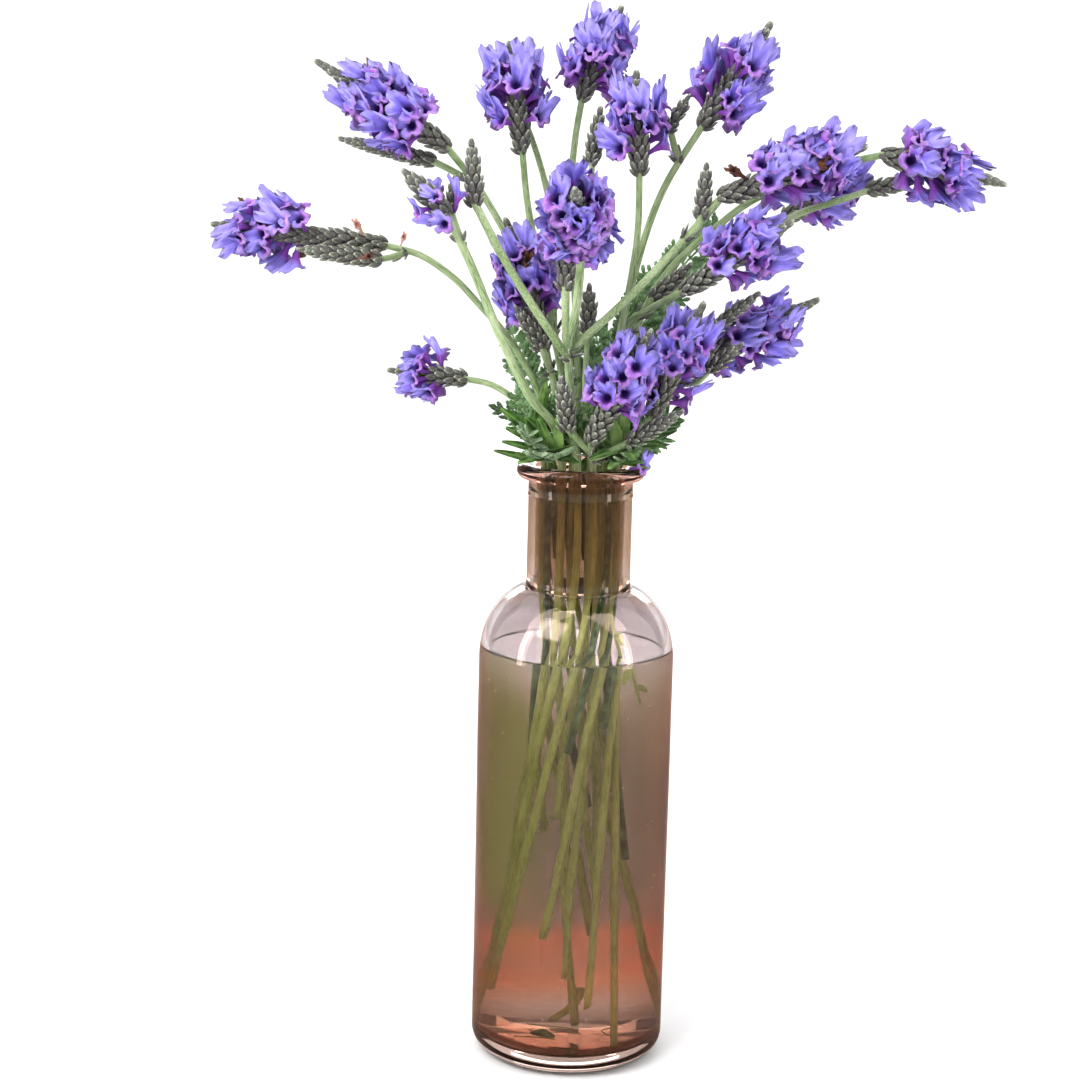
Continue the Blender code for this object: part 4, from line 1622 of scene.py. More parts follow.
@dataclass
class LeafySprig(Rooted):
    """A leafy shoot.

    Args:
        stem: Places along the shoot above the mouth.
        leaves: Its leaves.
    """

    stem: Sequence[Point]
    leaves: Sequence[Leaf]

    def lance(self, shape: Shape, leaf: Leaf, tone: float) -> None:
        """Adds a narrow pointed blade, folded a little along its midrib.

        Args:
            shape: The shape that it is added to.
            leaf: The leaf.
            tone: The value that the finish reads for it.
        """

        def section(share: float, turn: float) -> Pair:
            """The blade's section, thickest along its midrib.

            Args:
                share: Share of the path.
                turn: Angle round it.

            Returns:
                Half width and half thickness, in millimetres.
            """
            wide = leaf.width / 2 * (0.2 + 0.82 * math.sin(math.pi * (0.08 + 0.9 * share)) ** 0.8)
            rib = 1.0 if abs(math.cos(turn)) < 0.3 else 0.6
            return wide, 0.45 * rib * (1 - 0.5 * share)

        shape.tube(leaf.path(1.6), section, 12, tone, facing=leaf.facing, fold=0.28)

    def broad(self, shape: Shape, leaf: Leaf, tone: float, draw: Random) -> None:
        """Adds a leaf cut to its rib into a few broad pointed leaflets, each like a small blade.

        Args:
            shape: The shape that it is added to.
            leaf: The leaf.
            tone: The value that the finish reads for it.
            draw: The seeded source of its irregularities.
        """
        path = leaf.path(3.6)
        shape.tube(path, tapering((0.7, 0.5), (0.4, 0.3)), 6, tone, facing=leaf.facing)
        frames = frames_along(path, leaf.facing)
        last = len(frames) - 1
        for index in range(1, last + 1):
            reach = leaf.width * (0.95 - 0.35 * index / last)
            for way in (-1, 1) if index < last else (0,):
                end = Vector((way * 0.72, draw.uniform(-0.1, 0.2), 0.8)) * reach * draw.uniform(0.85, 1.1)
                middle = Vector((way * 0.45, draw.uniform(0, 0.15), 0.36)) * reach
                local = (Vector((0, 0, 0)), middle, end)
                points = [tuple(frames[index] @ (place * MM) / MM) for place in local]
                self.lance(shape, Leaf(*points, reach * 0.42, leaf.kind, leaf.facing), tone)

    def fern(self, shape: Shape, leaf: Leaf, tone: float, draw: Random) -> None:
        """Adds a leaf cut to its rib into leaflets, which are cut into lobes in turn.

        Args:
            shape: The shape that it is added to.
            leaf: The leaf.
            tone: The value that the finish reads for it.
            draw: The seeded source of its irregularities.
        """
        path = leaf.path(3.2)
        shape.tube(path, tapering((0.65, 0.5), (0.35, 0.25)), 6, tone, facing=leaf.facing)
        frames = frames_along(path, leaf.facing)
        last = len(frames) - 1
        for index in range(1, last + 1):
            share = index / (last + 1)
            reach = leaf.width * 0.62 * math.sin(math.pi * (0.22 + 0.70 * share)) ** 0.7
            for way in (-1, 1):
                forward = draw.uniform(0.55, 0.9)
                lift = draw.uniform(-0.1, 0.35)
                size = reach * draw.uniform(0.85, 1.1)
                end = Vector((way, lift, forward)) * size * MM
                middle = Vector((way * 0.5, lift * 0.2, forward * 0.35)) * size * MM
                points = [frames[index] @ place for place in (Vector((0, 0, 0)), middle, end)]
                self.leaflet(shape, points, size, tone, leaf.facing, draw)
        way = (path[-1] - path[-2]).normalized() * MM
        points = [path[-1] + way * length for length in (0, 1.6, 3.4)]
        self.leaflet(shape, points, 3.4, tone, leaf.facing, draw)

    def leaflet(
        self, shape: Shape, points: list[Vector], length: float, tone: float, facing: Vector, draw: Random,
    ) -> None:
        """Adds one leaflet: a narrow rib with a lobe at its end and blunt lobes on both sides.

        Args:
            shape: The shape that it is added to.
            points: Its root, middle and tip, in metres.
            length: Its length in millimetres.
            tone: The value that the finish reads for it.
            facing: The way its face looks.
            draw: The seeded source of its irregularities.
        """

        def section(share: float, turn: float) -> Pair:
            """The lobe's section."""
            wide = 0.3 + 0.2 * length ** 0.5 * math.sin(math.pi * (0.1 + 0.82 * share))
            return wide, 0.3 - 0.1 * share

        path = smooth_path(points, length / 5 * MM)
        frames = frames_along(path, facing)
        last = len(frames) - 1
        shape.tube(path, tapering((0.5, 0.35), (0.5, 0.35)), 6, tone, facing=facing)
        for index in range(1, last + 1):
            share = index / last
            for way in (-1, 1) if index < last else (0,):
                size = length * (0.42 - 0.14 * share if way else 0.34) * draw.uniform(0.8, 1.15)
                forward = 0.75 if way else 1
                end = Vector((way * 0.8, draw.uniform(-0.1, 0.25), forward)) * size * MM
                lobe = [frames[index] @ (end * share) for share in (0, 0.55, 1)]
                shape.tube(lobe, section, 6, tone, facing=facing, fold=0.15)

    def build(self, finishes: Finishes, seed: int) -> None:
        """Makes the shoot and its leaves as one piece for each kind of leaf.

        Args:
            finishes: The materials.
            seed: Seed of its irregularities.
        """
        draw = Random(900 + seed)
        kinds = sorted({leaf.kind for leaf in self.leaves}, key=lambda kind: kind.value)
        shapes = {kind: Shape() for kind in kinds}
        path = smooth_path([*self.stand(), *(metres(point) for point in self.stem)], 5 * MM)
        wide = self.thickness / 2
        shapes[kinds[0]].tube(path, tapering((wide, wide), (wide * 0.7, wide * 0.7)), 10, 0.5)
        for leaf in self.leaves:
            shape, tone = shapes[leaf.kind], draw.random()
            if leaf.kind is LANCE:
                self.lance(shape, leaf, tone)
            elif leaf.kind is BROAD:
                self.broad(shape, leaf, tone, draw)
            else:
                self.fern(shape, leaf, tone, draw)
        for kind in kinds:
            nodes = [self.name] if kind is kinds[0] else []
            shapes[kind].piece(f"{self.name}_{kind.value}", finishes.leaves[kind], Slot.LEAF, *nodes)


@dataclass
class LooseBits:
    """What is loose: bits in the water, a floret on the lip, dried florets and air bubbles.

    Args:
        stem: A cut piece of stem on the bottle's floor.
        threads: Threads of fibre that lie there.
        twig: A thin twig that hangs in the water.
        shoots: Roots and tips of its small leaves.
        leaf: A bit of leaf on the bottle's floor.
        dropped: Where the floret lies on the lip.
        dried: Place, lean in degrees, size and tone of the dried florets.
        bubbles: How many air bubbles cling to the glass.
        bubble_reach: Their distance from the bottle's axis.
    """

    stem: Sequence[Point] = ((3, 22, 16.5), (1, 17, 11.5), (-3, 10, 8.6))
    threads: Sequence[Sequence[Point]] = (
        ((-9, 6, 7.7), (-6, 2, 8.6), (-1, 3, 7.9), (3, 0, 8.2)),
        ((12, -6, 7.5), (9, -2, 8.4), (11, 4, 7.6)),
        ((-14, -8, 7.2), (-10, -10, 8.0), (-6, -8, 7.4), (-3, -11, 7.8)),
    )
    twig: Sequence[Point] = (
        (9.9, -7.2, 178), (9.9, -7.2, 160), (11.5, -9, 148), (15, -11, 136), (18.5, -13, 124),
    )
    shoots: Sequence[tuple[Point, Point]] = (
        ((12, -9.3, 146), (15, -12, 142)),
        ((15, -11, 136), (13.5, -13, 130)),
        ((17, -12.3, 129), (21, -14, 128)),
    )
    leaf: Sequence[Point] = ((-9, -4, 7.7), (-6.5, -7, 8.6), (-3, -8, 7.8))
    dropped: Point = (15.5, -13.5, 200.5)
    dried: Sequence[tuple[Point, float, float, float]] = (
        ((-72, 5, 271.5), -30, 0.6, PAPERY),
        ((-73, -4.5, 264.5), 70, 0.55, WITHERED),
        ((-60, 4, 268.5), 20, 0.45, PAPERY),
        ((50, -8, 293), -60, 0.8, WITHERED),
        ((47, 2, 262), 100, 0.7, WITHERED),
    )
    bubbles: int = 90
    bubble_reach: float = 28.8

    def stems(self, finish: Material) -> None:
        """Makes the cut piece of stem, the threads and the twig with its small leaves.

        Args:
            finish: The stems' material.
        """
        shape = Shape()
        shape.tube(path_through(self.stem, 1.5), tapering((1.3, 1.2), (1, 0.9)), 10, 0.3)
        for thread in self.threads:
            shape.tube(path_through(thread, 1.2), tapering((0.25, 0.25), (0.25, 0.25)), 5, 0.6)
        shape.tube(path_through(self.twig, 2), tapering((0.75, 0.75), (0.5, 0.5)), 8, 0.8)
        for start, end in self.shoots:
            middle = (Vector(start) + Vector(end)) / 2 + Vector((0, 0, 0.6))
            shape.tube(path_through((start, middle, end), 1), blade(0.4, 0.8, 0.3), 8, 0.8, facing=FRONT)
        shape.piece("loose_bits_of_stem", finish, Slot.STEM)

    def bit_of_leaf(self, finish: Material) -> None:
        """Makes the bit of leaf.

        Args:
            finish: The leaf's material.
        """
        shape = Shape()
        shape.tube(path_through(self.leaf, 1), blade(0.4, 1.5, 0.35), 10, 0.4, facing=UPWARD, fold=0.2)
        shape.piece("loose_bit_of_leaf", finish, Slot.LEAF)

    def florets(self, finish: Material, patterns: Patterns) -> None:
        """Makes the floret on the lip, and the dried ones.

        Args:
            finish: The petals' material.
            patterns: The shared meshes.
        """
        petal = Shape()
        turn = rotated("X", 65) @ rotated("Y", 50)
        petal.stamp(patterns.florets[0], moved(*self.dropped) @ turn @ Matrix.Scale(0.75, 4), 0.9)
        petal.piece("floret_on_lip", finish, Slot.PETAL)
        dried = Shape()
        for point, lean, size, tone in self.dried:
            turn = rotated("Y", lean) @ rotated("X", 35)
            dried.stamp(patterns.closing[0], moved(*point) @ turn @ Matrix.Scale(size, 4), tone)
        dried.piece("dried_florets", finish, Slot.PETAL)

    def air(self, finish: Material) -> None:
        """Makes the small air bubbles that cling to the inside of the glass under water.

        Args:
            finish: The bubbles' material.
        """
        draw = Random(41)
        shape = Shape()
        for _ in range(self.bubbles):
            turn, height = draw.uniform(0, math.tau), draw.uniform(16, 134)
            place = moved(self.bubble_reach * math.cos(turn), self.bubble_reach * math.sin(turn), height)
            size = draw.uniform(0.1, 0.3) * MM
            bmesh.ops.create_icosphere(shape.bm, subdivisions=1, radius=size, matrix=place)
        shape.piece("air_bubbles", finish, Slot.WATER)

    def build(self, finishes: Finishes, patterns: Patterns) -> None:
        """Makes every loose bit.

        Args:
            finishes: The materials.
            patterns: The shared meshes.
        """
        self.stems(finishes.stem)
        self.bit_of_leaf(finishes.leaves[LANCE])
        self.florets(finishes.petal, patterns)
        self.air(finishes.air)


# Studio


@dataclass
class Studio:
    """The camera of the photograph, a pale floor that curves up all round, and soft light.

    Args:
        eye: The camera's place in metres.
        pitch: How far it looks down, in degrees.
        pan: How far it looks to the right, in degrees.
        roll: How far the picture turns clockwise, in degrees.
        lens: Its focal length on a 36 mm wide sensor.
        aim: The place in metres where the lamps look, which is about the middle of the object.
        radius: The floor's radius, in millimetres.
        rise: The radius of its curve up at the edge.
        clearance: How far it lies below the bottle.
        card: The colour of the cards.
        lamps: Name, place, size and power of each lamp, and whether only gloss sees it.
    """

    eye: Point = (0.0, -0.826, 0.339)
    pitch: float = 11.30
    pan: float = -0.89
    roll: float = 1.39
    lens: float = 85.83
    aim: Point = (0, 0, 0.2)
    radius: float = 2400.0
    rise: float = 400.0
    clearance: float = 0.2
    card: Colour = (0.40, 0.26, 0.21)
    lamps: Sequence[tuple[str, Point, Pair, float, bool]] = (
        ("key", (-0.8, -0.9, 1.4), (0.9, 0.9), 14, False),
        ("left_strip", (-1.3, -0.5, 0.5), (0.2, 1.1), 5, False),
        ("right_strip", (1.3, -0.6, 0.5), (0.25, 1.1), 5, False),
        ("low_back", (0.0, 1.4, 0.52), (1.3, 0.2), 4, False),
        ("left_window", (-0.42, -0.2, 1.35), (0.55, 1.7), 14, True),
        ("right_window", (0.42, -0.2, 1.35), (0.55, 1.7), 14, True),
    )

    def camera(self) -> None:
        """Makes the camera."""
        data = bpy.data.cameras.new("photo_camera")
        data.lens = self.lens
        data.sensor_width = 36
        data.clip_start = 0.01
        made = linked("photo_camera", data)
        pitch, pan = math.radians(self.pitch), math.radians(self.pan)
        level = math.cos(pitch)
        forward = Vector((math.sin(pan) * level, math.cos(pan) * level, -math.sin(pitch)))
        right = Vector((math.cos(pan), -math.sin(pan), 0))
        turn = Matrix((right, right.cross(forward), -forward)).transposed().to_4x4()
        made.matrix_world = Matrix.Translation(self.eye) @ turn @ rotated("Z", self.roll)
        bpy.context.scene.camera = made

    def floor(self) -> None:
        """Makes the floor as a wide dish."""
        profile = [(radius, -self.clearance) for radius in (0, 600, 1400, self.radius - self.rise)]
        corner = (self.radius - self.rise, self.rise - self.clearance)
        profile += arc(corner, (self.rise, self.rise), -80, 0, 8) + [(self.radius, 3000)]
        mesh = turned(profile, 64).mesh("floor")
        mesh.flip_normals()
        mesh.materials.append(FloorFinish().build())
        linked("floor", mesh)

    def flag(self, name: str, azimuth: float | None) -> None:
        """Makes a brown card that only gloss sees, so that the glass's edges stand out from the white.

        Args:
            name: The card's name.
            azimuth: Degrees from the far side to the right, or None for a ring on the floor.
        """
        bm = bmesh.new()
        if azimuth is None:
            for radius in (0.031, 1.5):
                bmesh.ops.create_circle(bm, segments=48, radius=radius)
            bmesh.ops.bridge_loops(bm, edges=bm.edges)
            place = moved(0, 0, 0.2)
        else:
            bmesh.ops.create_grid(bm, x_segments=1, y_segments=1, size=0.5)
            bmesh.ops.scale(bm, vec=(1.3, 1.8, 1), verts=bm.verts)
            place = rotated("Z", -azimuth) @ moved(0, 1700, 600) @ rotated("X", 90)
        bmesh.ops.transform(bm, matrix=place, verts=bm.verts)
        mesh = bpy.data.meshes.new(name)
        bm.to_mesh(mesh)
        bm.free()
        mesh.materials.append(FloorFinish("brown_card", self.card, self.card).build())
        made = linked(name, mesh)
        made.visible_camera = made.visible_diffuse = False
        made.visible_shadow = made.visible_transmission = False

    def lamp(self, name: str, place: Point, size: Pair, power: float, gloss: bool) -> None:
        """Makes one soft lamp that looks at the object.

        Args:
            name: The lamp's name.
            place: Its place in metres.
            size: Its width and height in metres.
            power: Its power in watts.
            gloss: Whether only gloss sees it.
        """
        data = bpy.data.lights.new(name, "AREA")
        data.shape = "RECTANGLE"
        data.size, data.size_y = size
        data.energy = power
        made = linked(name, data)
        made.visible_diffuse = made.visible_transmission = not gloss
        made.location = place
        made.rotation_mode = "QUATERNION"
        made.rotation_quaternion = (Vector(self.aim) - Vector(place)).to_track_quat("-Z", "Y")

    def sky(self) -> None:
        """Makes the plain white surroundings."""
        world = bpy.data.worlds.new("studio")
        world.use_nodes = True
        background = world.node_tree.nodes["Background"].inputs
        background["Color"].default_value = (1, 1, 1, 1)
        background["Strength"].default_value = 1.0
        bpy.context.scene.world = world

    def build(self) -> None:
        """Makes camera, floor, surroundings, cards and lamps, and sets how the picture is developed."""
        self.camera()
        self.floor()
        self.sky()
        for name, azimuth in (("left_flag", -42), ("right_flag", 42), ("floor_flag", None)):
            self.flag(name, azimuth)
        for lamp in self.lamps:
            self.lamp(*lamp)
        view = bpy.context.scene.view_settings
        view.view_transform = "Standard"
        view.exposure = 0.3
        view.gamma = 0.85


# The bunch

PLANTS = [
    LavenderPlant("upper_left", OUTER, 5, 1, 3.2, [
        Stalk(
            [
                (-6.5, 13, 216), (-8, 17, 230), (-13, 19, 247), (-22, 18, 264), (-35, 13, 286),
                (-46, 9, 300),
            ],
            (-88, 10, 326), 7.4, Bloom("upper_left", 0.2, 0.74, 1, (0.35, -0.6, -0.7), 0.5),
        ),
        Stalk([(-38, 12, 289), (-45, 14, 292.5), (-51, 17, 295)], (-82, 27, 301), 6),
    ]),
    LavenderPlant("left_bud", OUTER, 10, 0.62, 3.6, [
        Stalk(
            [(-9, -15, 214), (-17, -19, 224), (-27, -21, 244), (-36, -22, 265), (-44, -22, 281)],
            (-57, -26, 294), 7.8, Bloom("left_bud", 0.1, 0.5, 0.72, (0.3, -1, 0.3), 1, 3),
        ),
        Stalk([(-39, -22, 271), (-42, -20, 279), (-43, -19, 282)], (-42, -17, 292), 4.4),
    ]),
    LavenderPlant("centre", OUTER, 11, 1, 3.8, [
        Stalk(
            [
                (-3, -15, 212), (-4, -17, 224), (-5, -19, 241), (-3, -24, 252), (-2, -32, 267),
                (-2.5, -42, 277),
            ],
            (-4, -76, 293), 7.4, Bloom("centre_front", 0.12, 0.8, 1),
        ),
        Stalk(
            [(-5, -18, 238), (-6, -21, 246), (-6.5, -22.5, 259)],
            (-4.5, -12, 288), 7, Bloom("centre_back", 0.24, 0.74, 0.9, (0, -1, 0), 0.5),
        ),
        Stalk(
            [(-4.5, -18, 236), (-9, -20, 242), (-18, -21, 255), (-27, -20, 269), (-35.5, -16.5, 284)],
            (-37, -14, 303), 6.4,
        ),
        Stalk(
            [
                (-4.5, -18, 237), (0, -18, 243), (8, -15, 250), (20, -11, 262), (32, -7, 275),
                (42, -5, 287),
            ],
            (86, -10, 304), 7.6, Bloom("centre_right", 0.26, 0.88, 1, (0.1, -0.6, -0.8), 0.7),
        ),
        Stalk([(31, -7.5, 274), (35, -7, 277.5), (36, -6, 281)], (37, -4, 297), 6.2),
    ]),
    LavenderPlant("upper_centre", INNER, 2, 0.7, 3, [
        Stalk(
            [
                (-4.5, 6.5, 214), (-7, 7, 227), (-12, 10, 251), (-17, 14, 269), (-20, 18, 283),
                (-22, 20, 299),
            ],
            (-27, 26, 333), 7.2, Bloom("upper_centre", 0.24, 0.88, 1, (0.15, -1, 0), 0.6),
        ),
        Stalk(
            [
                (-10, 9, 241), (-10.5, 15, 252), (-11.5, 24, 268), (-13.5, 32, 284), (-19, 38, 301),
                (-25, 41, 314),
            ],
            (-35, 43, 331), 6.4,
        ),
    ]),
    LavenderPlant("top", OUTER, 4, 0.45, 3, [
        Stalk(
            [
                (-1.5, 14, 214), (-2, 16, 228), (-4, 21, 257), (-6, 26, 283), (-5, 29, 302),
                (-3, 30.5, 316),
            ],
            (9, 34, 345), 7, Bloom("top", 0.16, 0.82, 0.96, (0, -1, 0), 0.3),
        ),
        Stalk([(-5, 25, 276), (-3, 22, 282), (0, 19, 288), (1, 18, 296)], (3, 18, 313), 6.4),
    ]),
    LavenderPlant("centre_high", INNER, 0, 0.85, 3, [
        Stalk(
            [(7.5, -0.5, 214), (8.5, -1, 228), (11, -1, 240), (14, 0, 258), (16, 1.5, 275), (16, 2, 294)],
            (14, 0, 325), 7.2, Bloom("centre_high", 0.18, 0.84, 0.92, (0.1, -1, 0), 0.35),
        ),
    ]),
    LavenderPlant("upper_right", OUTER, 2, 1, 3.2, [
        Stalk(
            [
                (9, 11, 215), (9.5, 12.5, 229), (12.5, 14.5, 246), (18.5, 13, 272), (25, 12, 290),
                (36, 10, 309),
            ],
            (56, 6, 341), 7.6, Bloom("upper_right", 0.12, 0.72, 1.04, (-0.35, -0.9, 0.2), 1),
        ),
        Stalk([(29, 11.5, 297), (27, 11, 302), (25.5, 10, 308)], (31, 7, 318), 5.4),
    ]),
    LavenderPlant("far_left", OUTER, 7, 0.8, 3, [
        Stalk(
            [
                (-13, 5, 214), (-15, 6, 223), (-24, 8, 238), (-35, 9, 250), (-43, 9, 258), (-54, 10, 265),
                (-66, 10, 268),
            ],
            (-121, 8, 273.5), 7.4, Bloom("far_left", 0.46, 0.9, 0.92, (0, -0.8, -0.6), 0.4),
        ),
        Stalk([(-58, 10, 266), (-63, 6, 264.5), (-67, 2, 264)], (-92, -3, 267), 6.4),
    ]),
    LavenderPlant("left_low", OUTER, 8, 0.55, 2.8, [
        Stalk(
            [(-12.8, -2.5, 206), (-16, -1.5, 214), (-22, 0, 220), (-30, 2, 224.5), (-39, 3, 226)],
            (-63, 4, 228), 6.6, Bloom("left_low", 0.34, 0.78, 0.84, (0, -1, 0.1), 1),
        ),
    ]),
    LavenderPlant("centre_left", INNER, 3, 1, 3, [
        Stalk(
            [(-7.5, -1, 214), (-9.5, -2, 225), (-12.5, -3, 238)],
            (-26, -4, 278), 7.2, Bloom("centre_left", 0.24, 0.84, 0.88, (0.2, -1, 0), 0.3),
        ),
        Stalk([(-10.5, -2.5, 230), (-12, -8, 234), (-13.5, -12, 239)], (-22, -18, 252), 5.4),
    ]),
    LavenderPlant("far_right", OUTER, 1, 0.9, 3.2, [
        Stalk(
            [
                (12.5, 6.5, 215), (14, 9, 229), (18, 12.5, 246), (27, 13, 262), (40, 11, 275),
                (52, 9, 285), (65, 9, 291), (78, 9, 297), (94, 8, 301),
            ],
            (132, 2, 293), 7.6, Bloom("far_right", 0.14, 0.73, 1, (-0.1, -0.7, -0.7), 0.7),
        ),
    ]),
    LavenderPlant("right", INNER, 1, 0.6, 3.2, [
        Stalk(
            [
                (4.5, 5.5, 213), (8.5, 5, 227), (14, 3.5, 245), (20, 0, 250), (24, -4, 253),
                (31, -9, 257.5),
            ],
            (63, -24, 281), 7.2, Bloom("right", 0.3, 0.86, 0.92, (0.3, -0.7, -0.7), 0.6, 7),
        ),
        Stalk(
            [(13, 4, 242), (20, 6, 249), (28, 9, 254.5), (43, 15, 265), (56, 20, 273), (65, 24, 279)],
            (91, 35, 297), 7, Bloom("right_back", 0.3, 0.8, 0.95),
        ),
        Stalk([(62, 23, 277), (70, 19, 281.5), (79, 14.5, 285), (91, 18, 289)], (108, 24, 293), 6.4),
        Stalk([(17, 2, 247.5), (20, 3.5, 251), (22, 3, 254)], (33, -1, 265), 5.8),
    ]),
    LavenderPlant("low_right", OUTER, 14, 0.75, 3.4, [
        Stalk(
            [(14, -4, 206), (20, -1, 213), (27, 4, 221), (34, 9, 231)],
            (75, 9, 254), 7.6, Bloom("low_right", 0.2, 0.78, 0.92, (0, -0.6, -0.8), 0.5, 6),
        ),
        Stalk(
            [(14.5, -4, 207), (18, -8, 211.5), (22, -12, 218)],
            (37, -15, 254), 7.4, Bloom("low_right_front", 0.14, 0.84, 0.88, (0.6, -0.7, 0), 0.6, 6),
        ),
        Stalk([(31, 6.5, 226), (34, 1, 232), (39, -1.5, 243)], (55, -5, 257), 5.4),
        Stalk([(31.5, 7, 227), (36, 1, 227), (40, -5, 232)], (50, -9, 241), 5.6),
    ]),
    LavenderPlant("front", OUTER, 12, 0.9, 3.4, [
        Stalk(
            [(3, -14.5, 205), (3, -17.5, 210)],
            (20, -41, 248), 7.4, Bloom("front", 0.24, 0.88, 0.9, (0.2, -0.9, -0.4), 0.3, 5),
        ),
        Stalk([(3, -14.5, 205.5), (-1, -17.5, 210), (-4.5, -19.5, 214)], (-7, -26, 231), 6.4),
        Stalk([(3.2, -14, 203.5), (8, -16.5, 206), (15, -19, 210)], (31, -30, 222), 6),
    ]),
    LavenderPlant("back_bud", INNER, 5, 0.5, 2.6, [
        Stalk([(1, -5.5, 214), (0.5, -5.5, 228), (1, -5, 244)], (1, -5.5, 258), 6.2),
    ]),
]

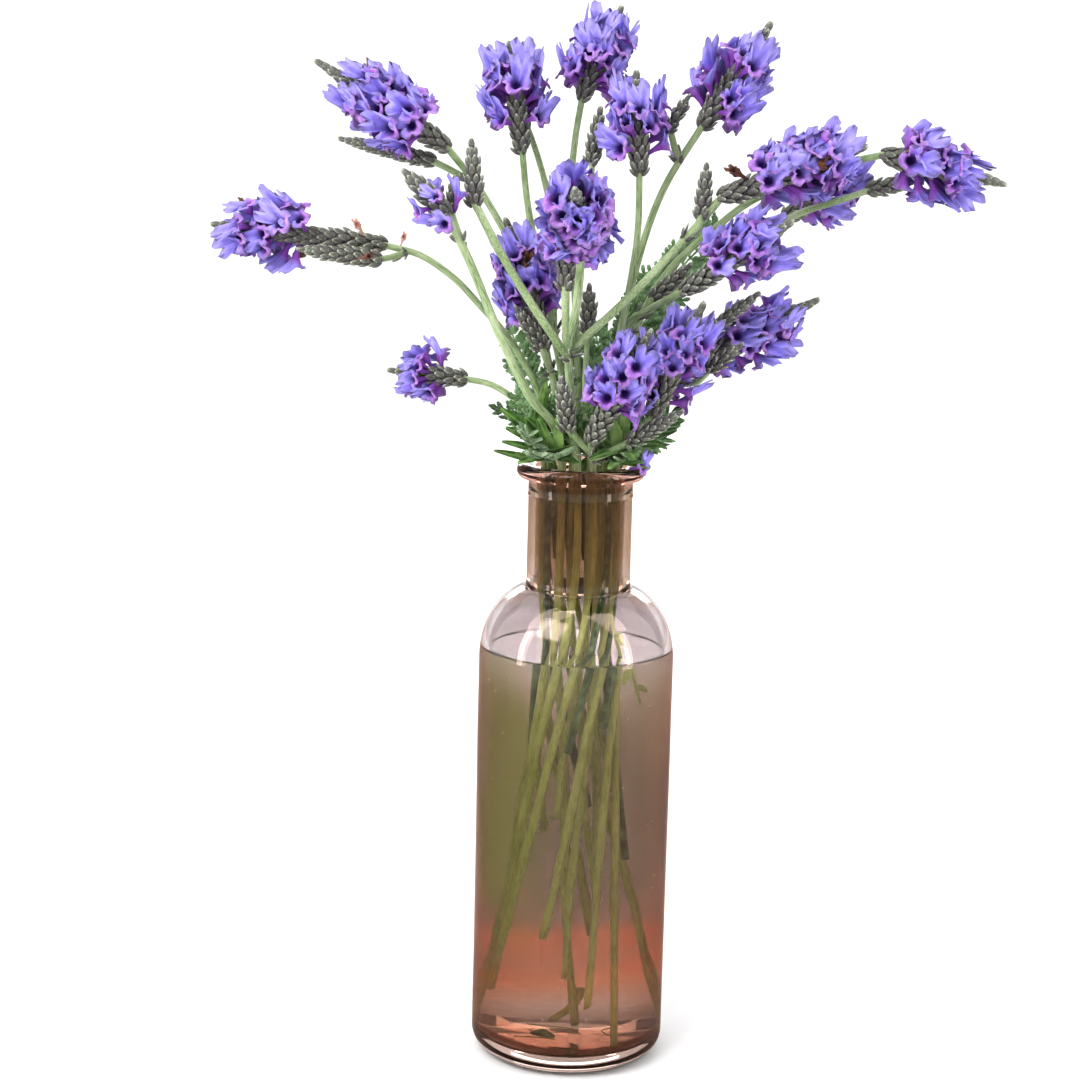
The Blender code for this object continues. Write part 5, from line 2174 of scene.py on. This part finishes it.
SPRIGS = [
    LeafySprig("leaf_sprig_back_left", OUTER, 6, 0.5, 2.2, [(-11.5, 9.5, 207), (-14, 13, 215)], [
        Leaf((-13, 11.5, 212), (-18, 17, 226), (-24, 20, 239), 8.5, FERN, FRONT),
        Leaf((-12, 10.5, 208), (-20, 14, 211), (-27, 15, 214), 6, FERN, UPWARD),
        Leaf((-9.6, 6.6, 200), (-7.8, 4.8, 188), (-7.8, 4.6, 167), 4.2, LANCE, FRONT),
    ]),
    LeafySprig("leaf_sprig_left", OUTER, 9, 0.4, 2.4, [(-10.8, -9, 204), (-12.5, -11, 208)], [
        Leaf((-10.5, -8.8, 202.5), (-18, -13, 203), (-28, -15, 205.5), 4, LANCE, UPWARD),
        Leaf((-11, -9.5, 204), (-18, -13, 206.5), (-25.5, -15, 208.5), 3.8, LANCE, UPWARD),
        Leaf((-11.5, -10, 205), (-18, -10, 210), (-24.5, -11, 212.5), 3.4, LANCE, FRONT),
        Leaf((-12, -10.5, 206.5), (-18.5, -11, 213), (-26, -13, 219), 3.8, LANCE, FRONT),
        Leaf((-11.8, -10, 206), (-13.5, -12.5, 216), (-12, -14, 228), 4.2, LANCE, FRONT),
        Leaf((-11.8, -10, 206), (-13.5, -14, 212), (-18, -17, 217), 4.4, LANCE, FRONT),
        Leaf((-11.8, -10, 206), (-11, -16, 210), (-14, -19, 217), 4.2, LANCE, FRONT),
        Leaf((-11, -9, 204), (-7.5, -15, 208), (-8, -17, 217), 4.2, LANCE, FRONT),
        Leaf((-11, -9, 204), (-14, -15, 203.5), (-20, -20, 202.5), 4.6, LANCE, UPWARD),
        Leaf((-10.5, -8.8, 203), (-6, -15, 203.5), (-1, -20, 203), 4.2, LANCE, UPWARD),
        Leaf((-11.5, -9.5, 205), (-9, -15, 206), (-3, -18.5, 208.5), 3.8, LANCE, UPWARD),
        Leaf((-11.8, -10, 206), (-15, -17, 208), (-17, -22, 212.5), 7, SILVER, UPWARD),
        Leaf((-11, -9.5, 204), (-12, -17, 204.5), (-13.5, -22.5, 206), 7, SILVER, UPWARD),
        Leaf((-11, -9.5, 204), (-8, -16, 204.5), (-6.5, -21, 206), 6.5, SILVER, UPWARD),
        Leaf((-12.3, -10.8, 207.5), (-17, -10.5, 214), (-20, -10, 222), 7, FERN, FRONT),
        Leaf((-10.5, -8.8, 202.5), (-6, -6, 207), (-3, -6, 214), 7, FERN, FRONT),
        Leaf((-11, -9, 204), (-9, -8, 211), (-9, -9, 219), 7.5, FERN, FRONT),
    ]),
    LeafySprig("leaf_sprig_front_right", OUTER, 13, 0.35, 2.4, [(9.4, -10.5, 203), (11.5, -12.5, 206)], [
        Leaf((8.8, -9.6, 201.5), (14.5, -14, 203), (22, -15, 201.5), 5.4, LANCE, UPWARD),
        Leaf((10.5, -11.5, 204.5), (12, -19, 204), (9, -26, 202.5), 5.2, LANCE, UPWARD),
        Leaf((11, -12, 205.5), (15, -22, 207), (17, -29, 206), 5.2, LANCE, UPWARD),
        Leaf((11, -12, 205.5), (19, -15, 209), (26, -17, 209), 5, LANCE, UPWARD),
        Leaf((11.3, -12.3, 205.8), (17, -13, 208), (23, -14, 213), 7, BROAD, FRONT),
        Leaf((11, -12, 205.5), (9, -19, 206.5), (2.5, -21, 204.5), 5.4, LANCE, UPWARD),
        Leaf((9, -10, 202.5), (14, -17, 204), (20, -17.5, 203.5), 6, LANCE, UPWARD),
        Leaf((9.5, -10.5, 203), (2, -8, 206), (-5, -9, 209), 4.4, LANCE, FRONT),
        Leaf((10.5, -11.5, 204.5), (6, -6, 211), (2, -6, 217), 6, FERN, FRONT),
        Leaf((9.5, -10.5, 203), (6, -8, 210), (5, -9, 219), 4.2, LANCE, FRONT),
        Leaf((10.5, -11.5, 204.5), (11, -12, 211), (8, -13, 218), 4, LANCE, FRONT),
        Leaf((11, -12, 205.5), (13, -11, 212), (13.5, -12, 220), 4, LANCE, FRONT),
        Leaf((9.5, -10.5, 203), (3, -9, 208), (-1, -10, 214), 3.8, LANCE, FRONT),
        Leaf((10, -11, 204), (13, -18, 204.5), (16, -21, 207.5), 6.5, SILVER, UPWARD),
    ]),
    LeafySprig("leaf_sprig_right", OUTER, 0, 0.3, 2.4, [(14.2, 1, 203), (17, 1.5, 206)], [
        Leaf((15.5, 1.2, 204.5), (22, -3, 212), (29, -5, 218), 9.5, BROAD, FRONT),
        Leaf((16.5, 1.4, 205.5), (22, 5, 206), (27, 8, 208), 8, BROAD, UPWARD),
        Leaf((14.5, 1, 203.2), (20, -4, 204.5), (25, -8, 207), 8, BROAD, UPWARD),
    ]),
    LeafySprig("leaf_sprig_back", OUTER, 3, 0.6, 2.2, [(4, 14.5, 212), (9, 20, 226)], [
        Leaf((8, 19, 223), (22, 27, 250), (43, 33, 274), 12, FERN, FRONT),
        Leaf((5, 15.5, 214.5), (6, 26, 228), (3, 35, 240), 9, FERN, FRONT),
        Leaf((4, 14.3, 210), (-1, 15, 218), (-5, 17, 229), 8.5, FERN, FRONT),
        Leaf((4.3, 14.5, 212), (3, 15, 222), (2.5, 17, 233), 8.5, FERN, FRONT),
        Leaf((3.9, 13.5, 207.5), (9, 12, 212), (14, 14, 220), 8.5, FERN, FRONT),
        Leaf((3.6, 12.5, 204.5), (-3, 11, 207), (-9, 11, 211), 8, FERN, FRONT),
        Leaf((3.6, 12.3, 204), (9, 9, 205), (15, 6.5, 208), 8, FERN, FRONT),
        Leaf((3.5, 12, 203), (0, 9.5, 205), (-4, 7.5, 208), 7, FERN, FRONT),
        Leaf((3.7, 11, 199), (1.8, 8.8, 186), (1.8, 8.6, 166), 4.2, LANCE, FRONT),
        Leaf((3.6, 11, 201), (-3.4, 8.6, 190), (-3.4, 8.3, 167), 4.6, LANCE, FRONT),
    ]),
]


def main() -> None:
    """Builds the object piece by piece over its frame, then the studio."""
    logging.basicConfig(level=logging.INFO, format="%(message)s")
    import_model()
    finishes = Finishes()
    patterns = Patterns()
    bottle = Bottle()
    bottle.build(finishes.glass)
    Water(bottle).build(finishes.water)
    LOG.info("bottle and water made")
    for number, plant in enumerate(PLANTS):
        plant.build(patterns, finishes, number)
    LOG.info("%d plants made", len(PLANTS))
    blooming = [stalk for plant in PLANTS for stalk in plant.stalks if stalk.bloom]
    heads = [FlowerHead(stalk, patterns, number) for number, stalk in enumerate(blooming)]
    florets = sum(head.build(finishes.petal) for head in heads)
    LOG.info("%d heads with %d florets made", len(heads), florets)
    for number, sprig in enumerate(SPRIGS):
        sprig.build(finishes, number)
    LOG.info("%d leafy sprigs made", len(SPRIGS))
    LooseBits().build(finishes, patterns)
    patterns.clear()
    Studio().build()
    LOG.info("studio made")
    LOG.info("sizes written")


if __name__ == "__main__":
    main()
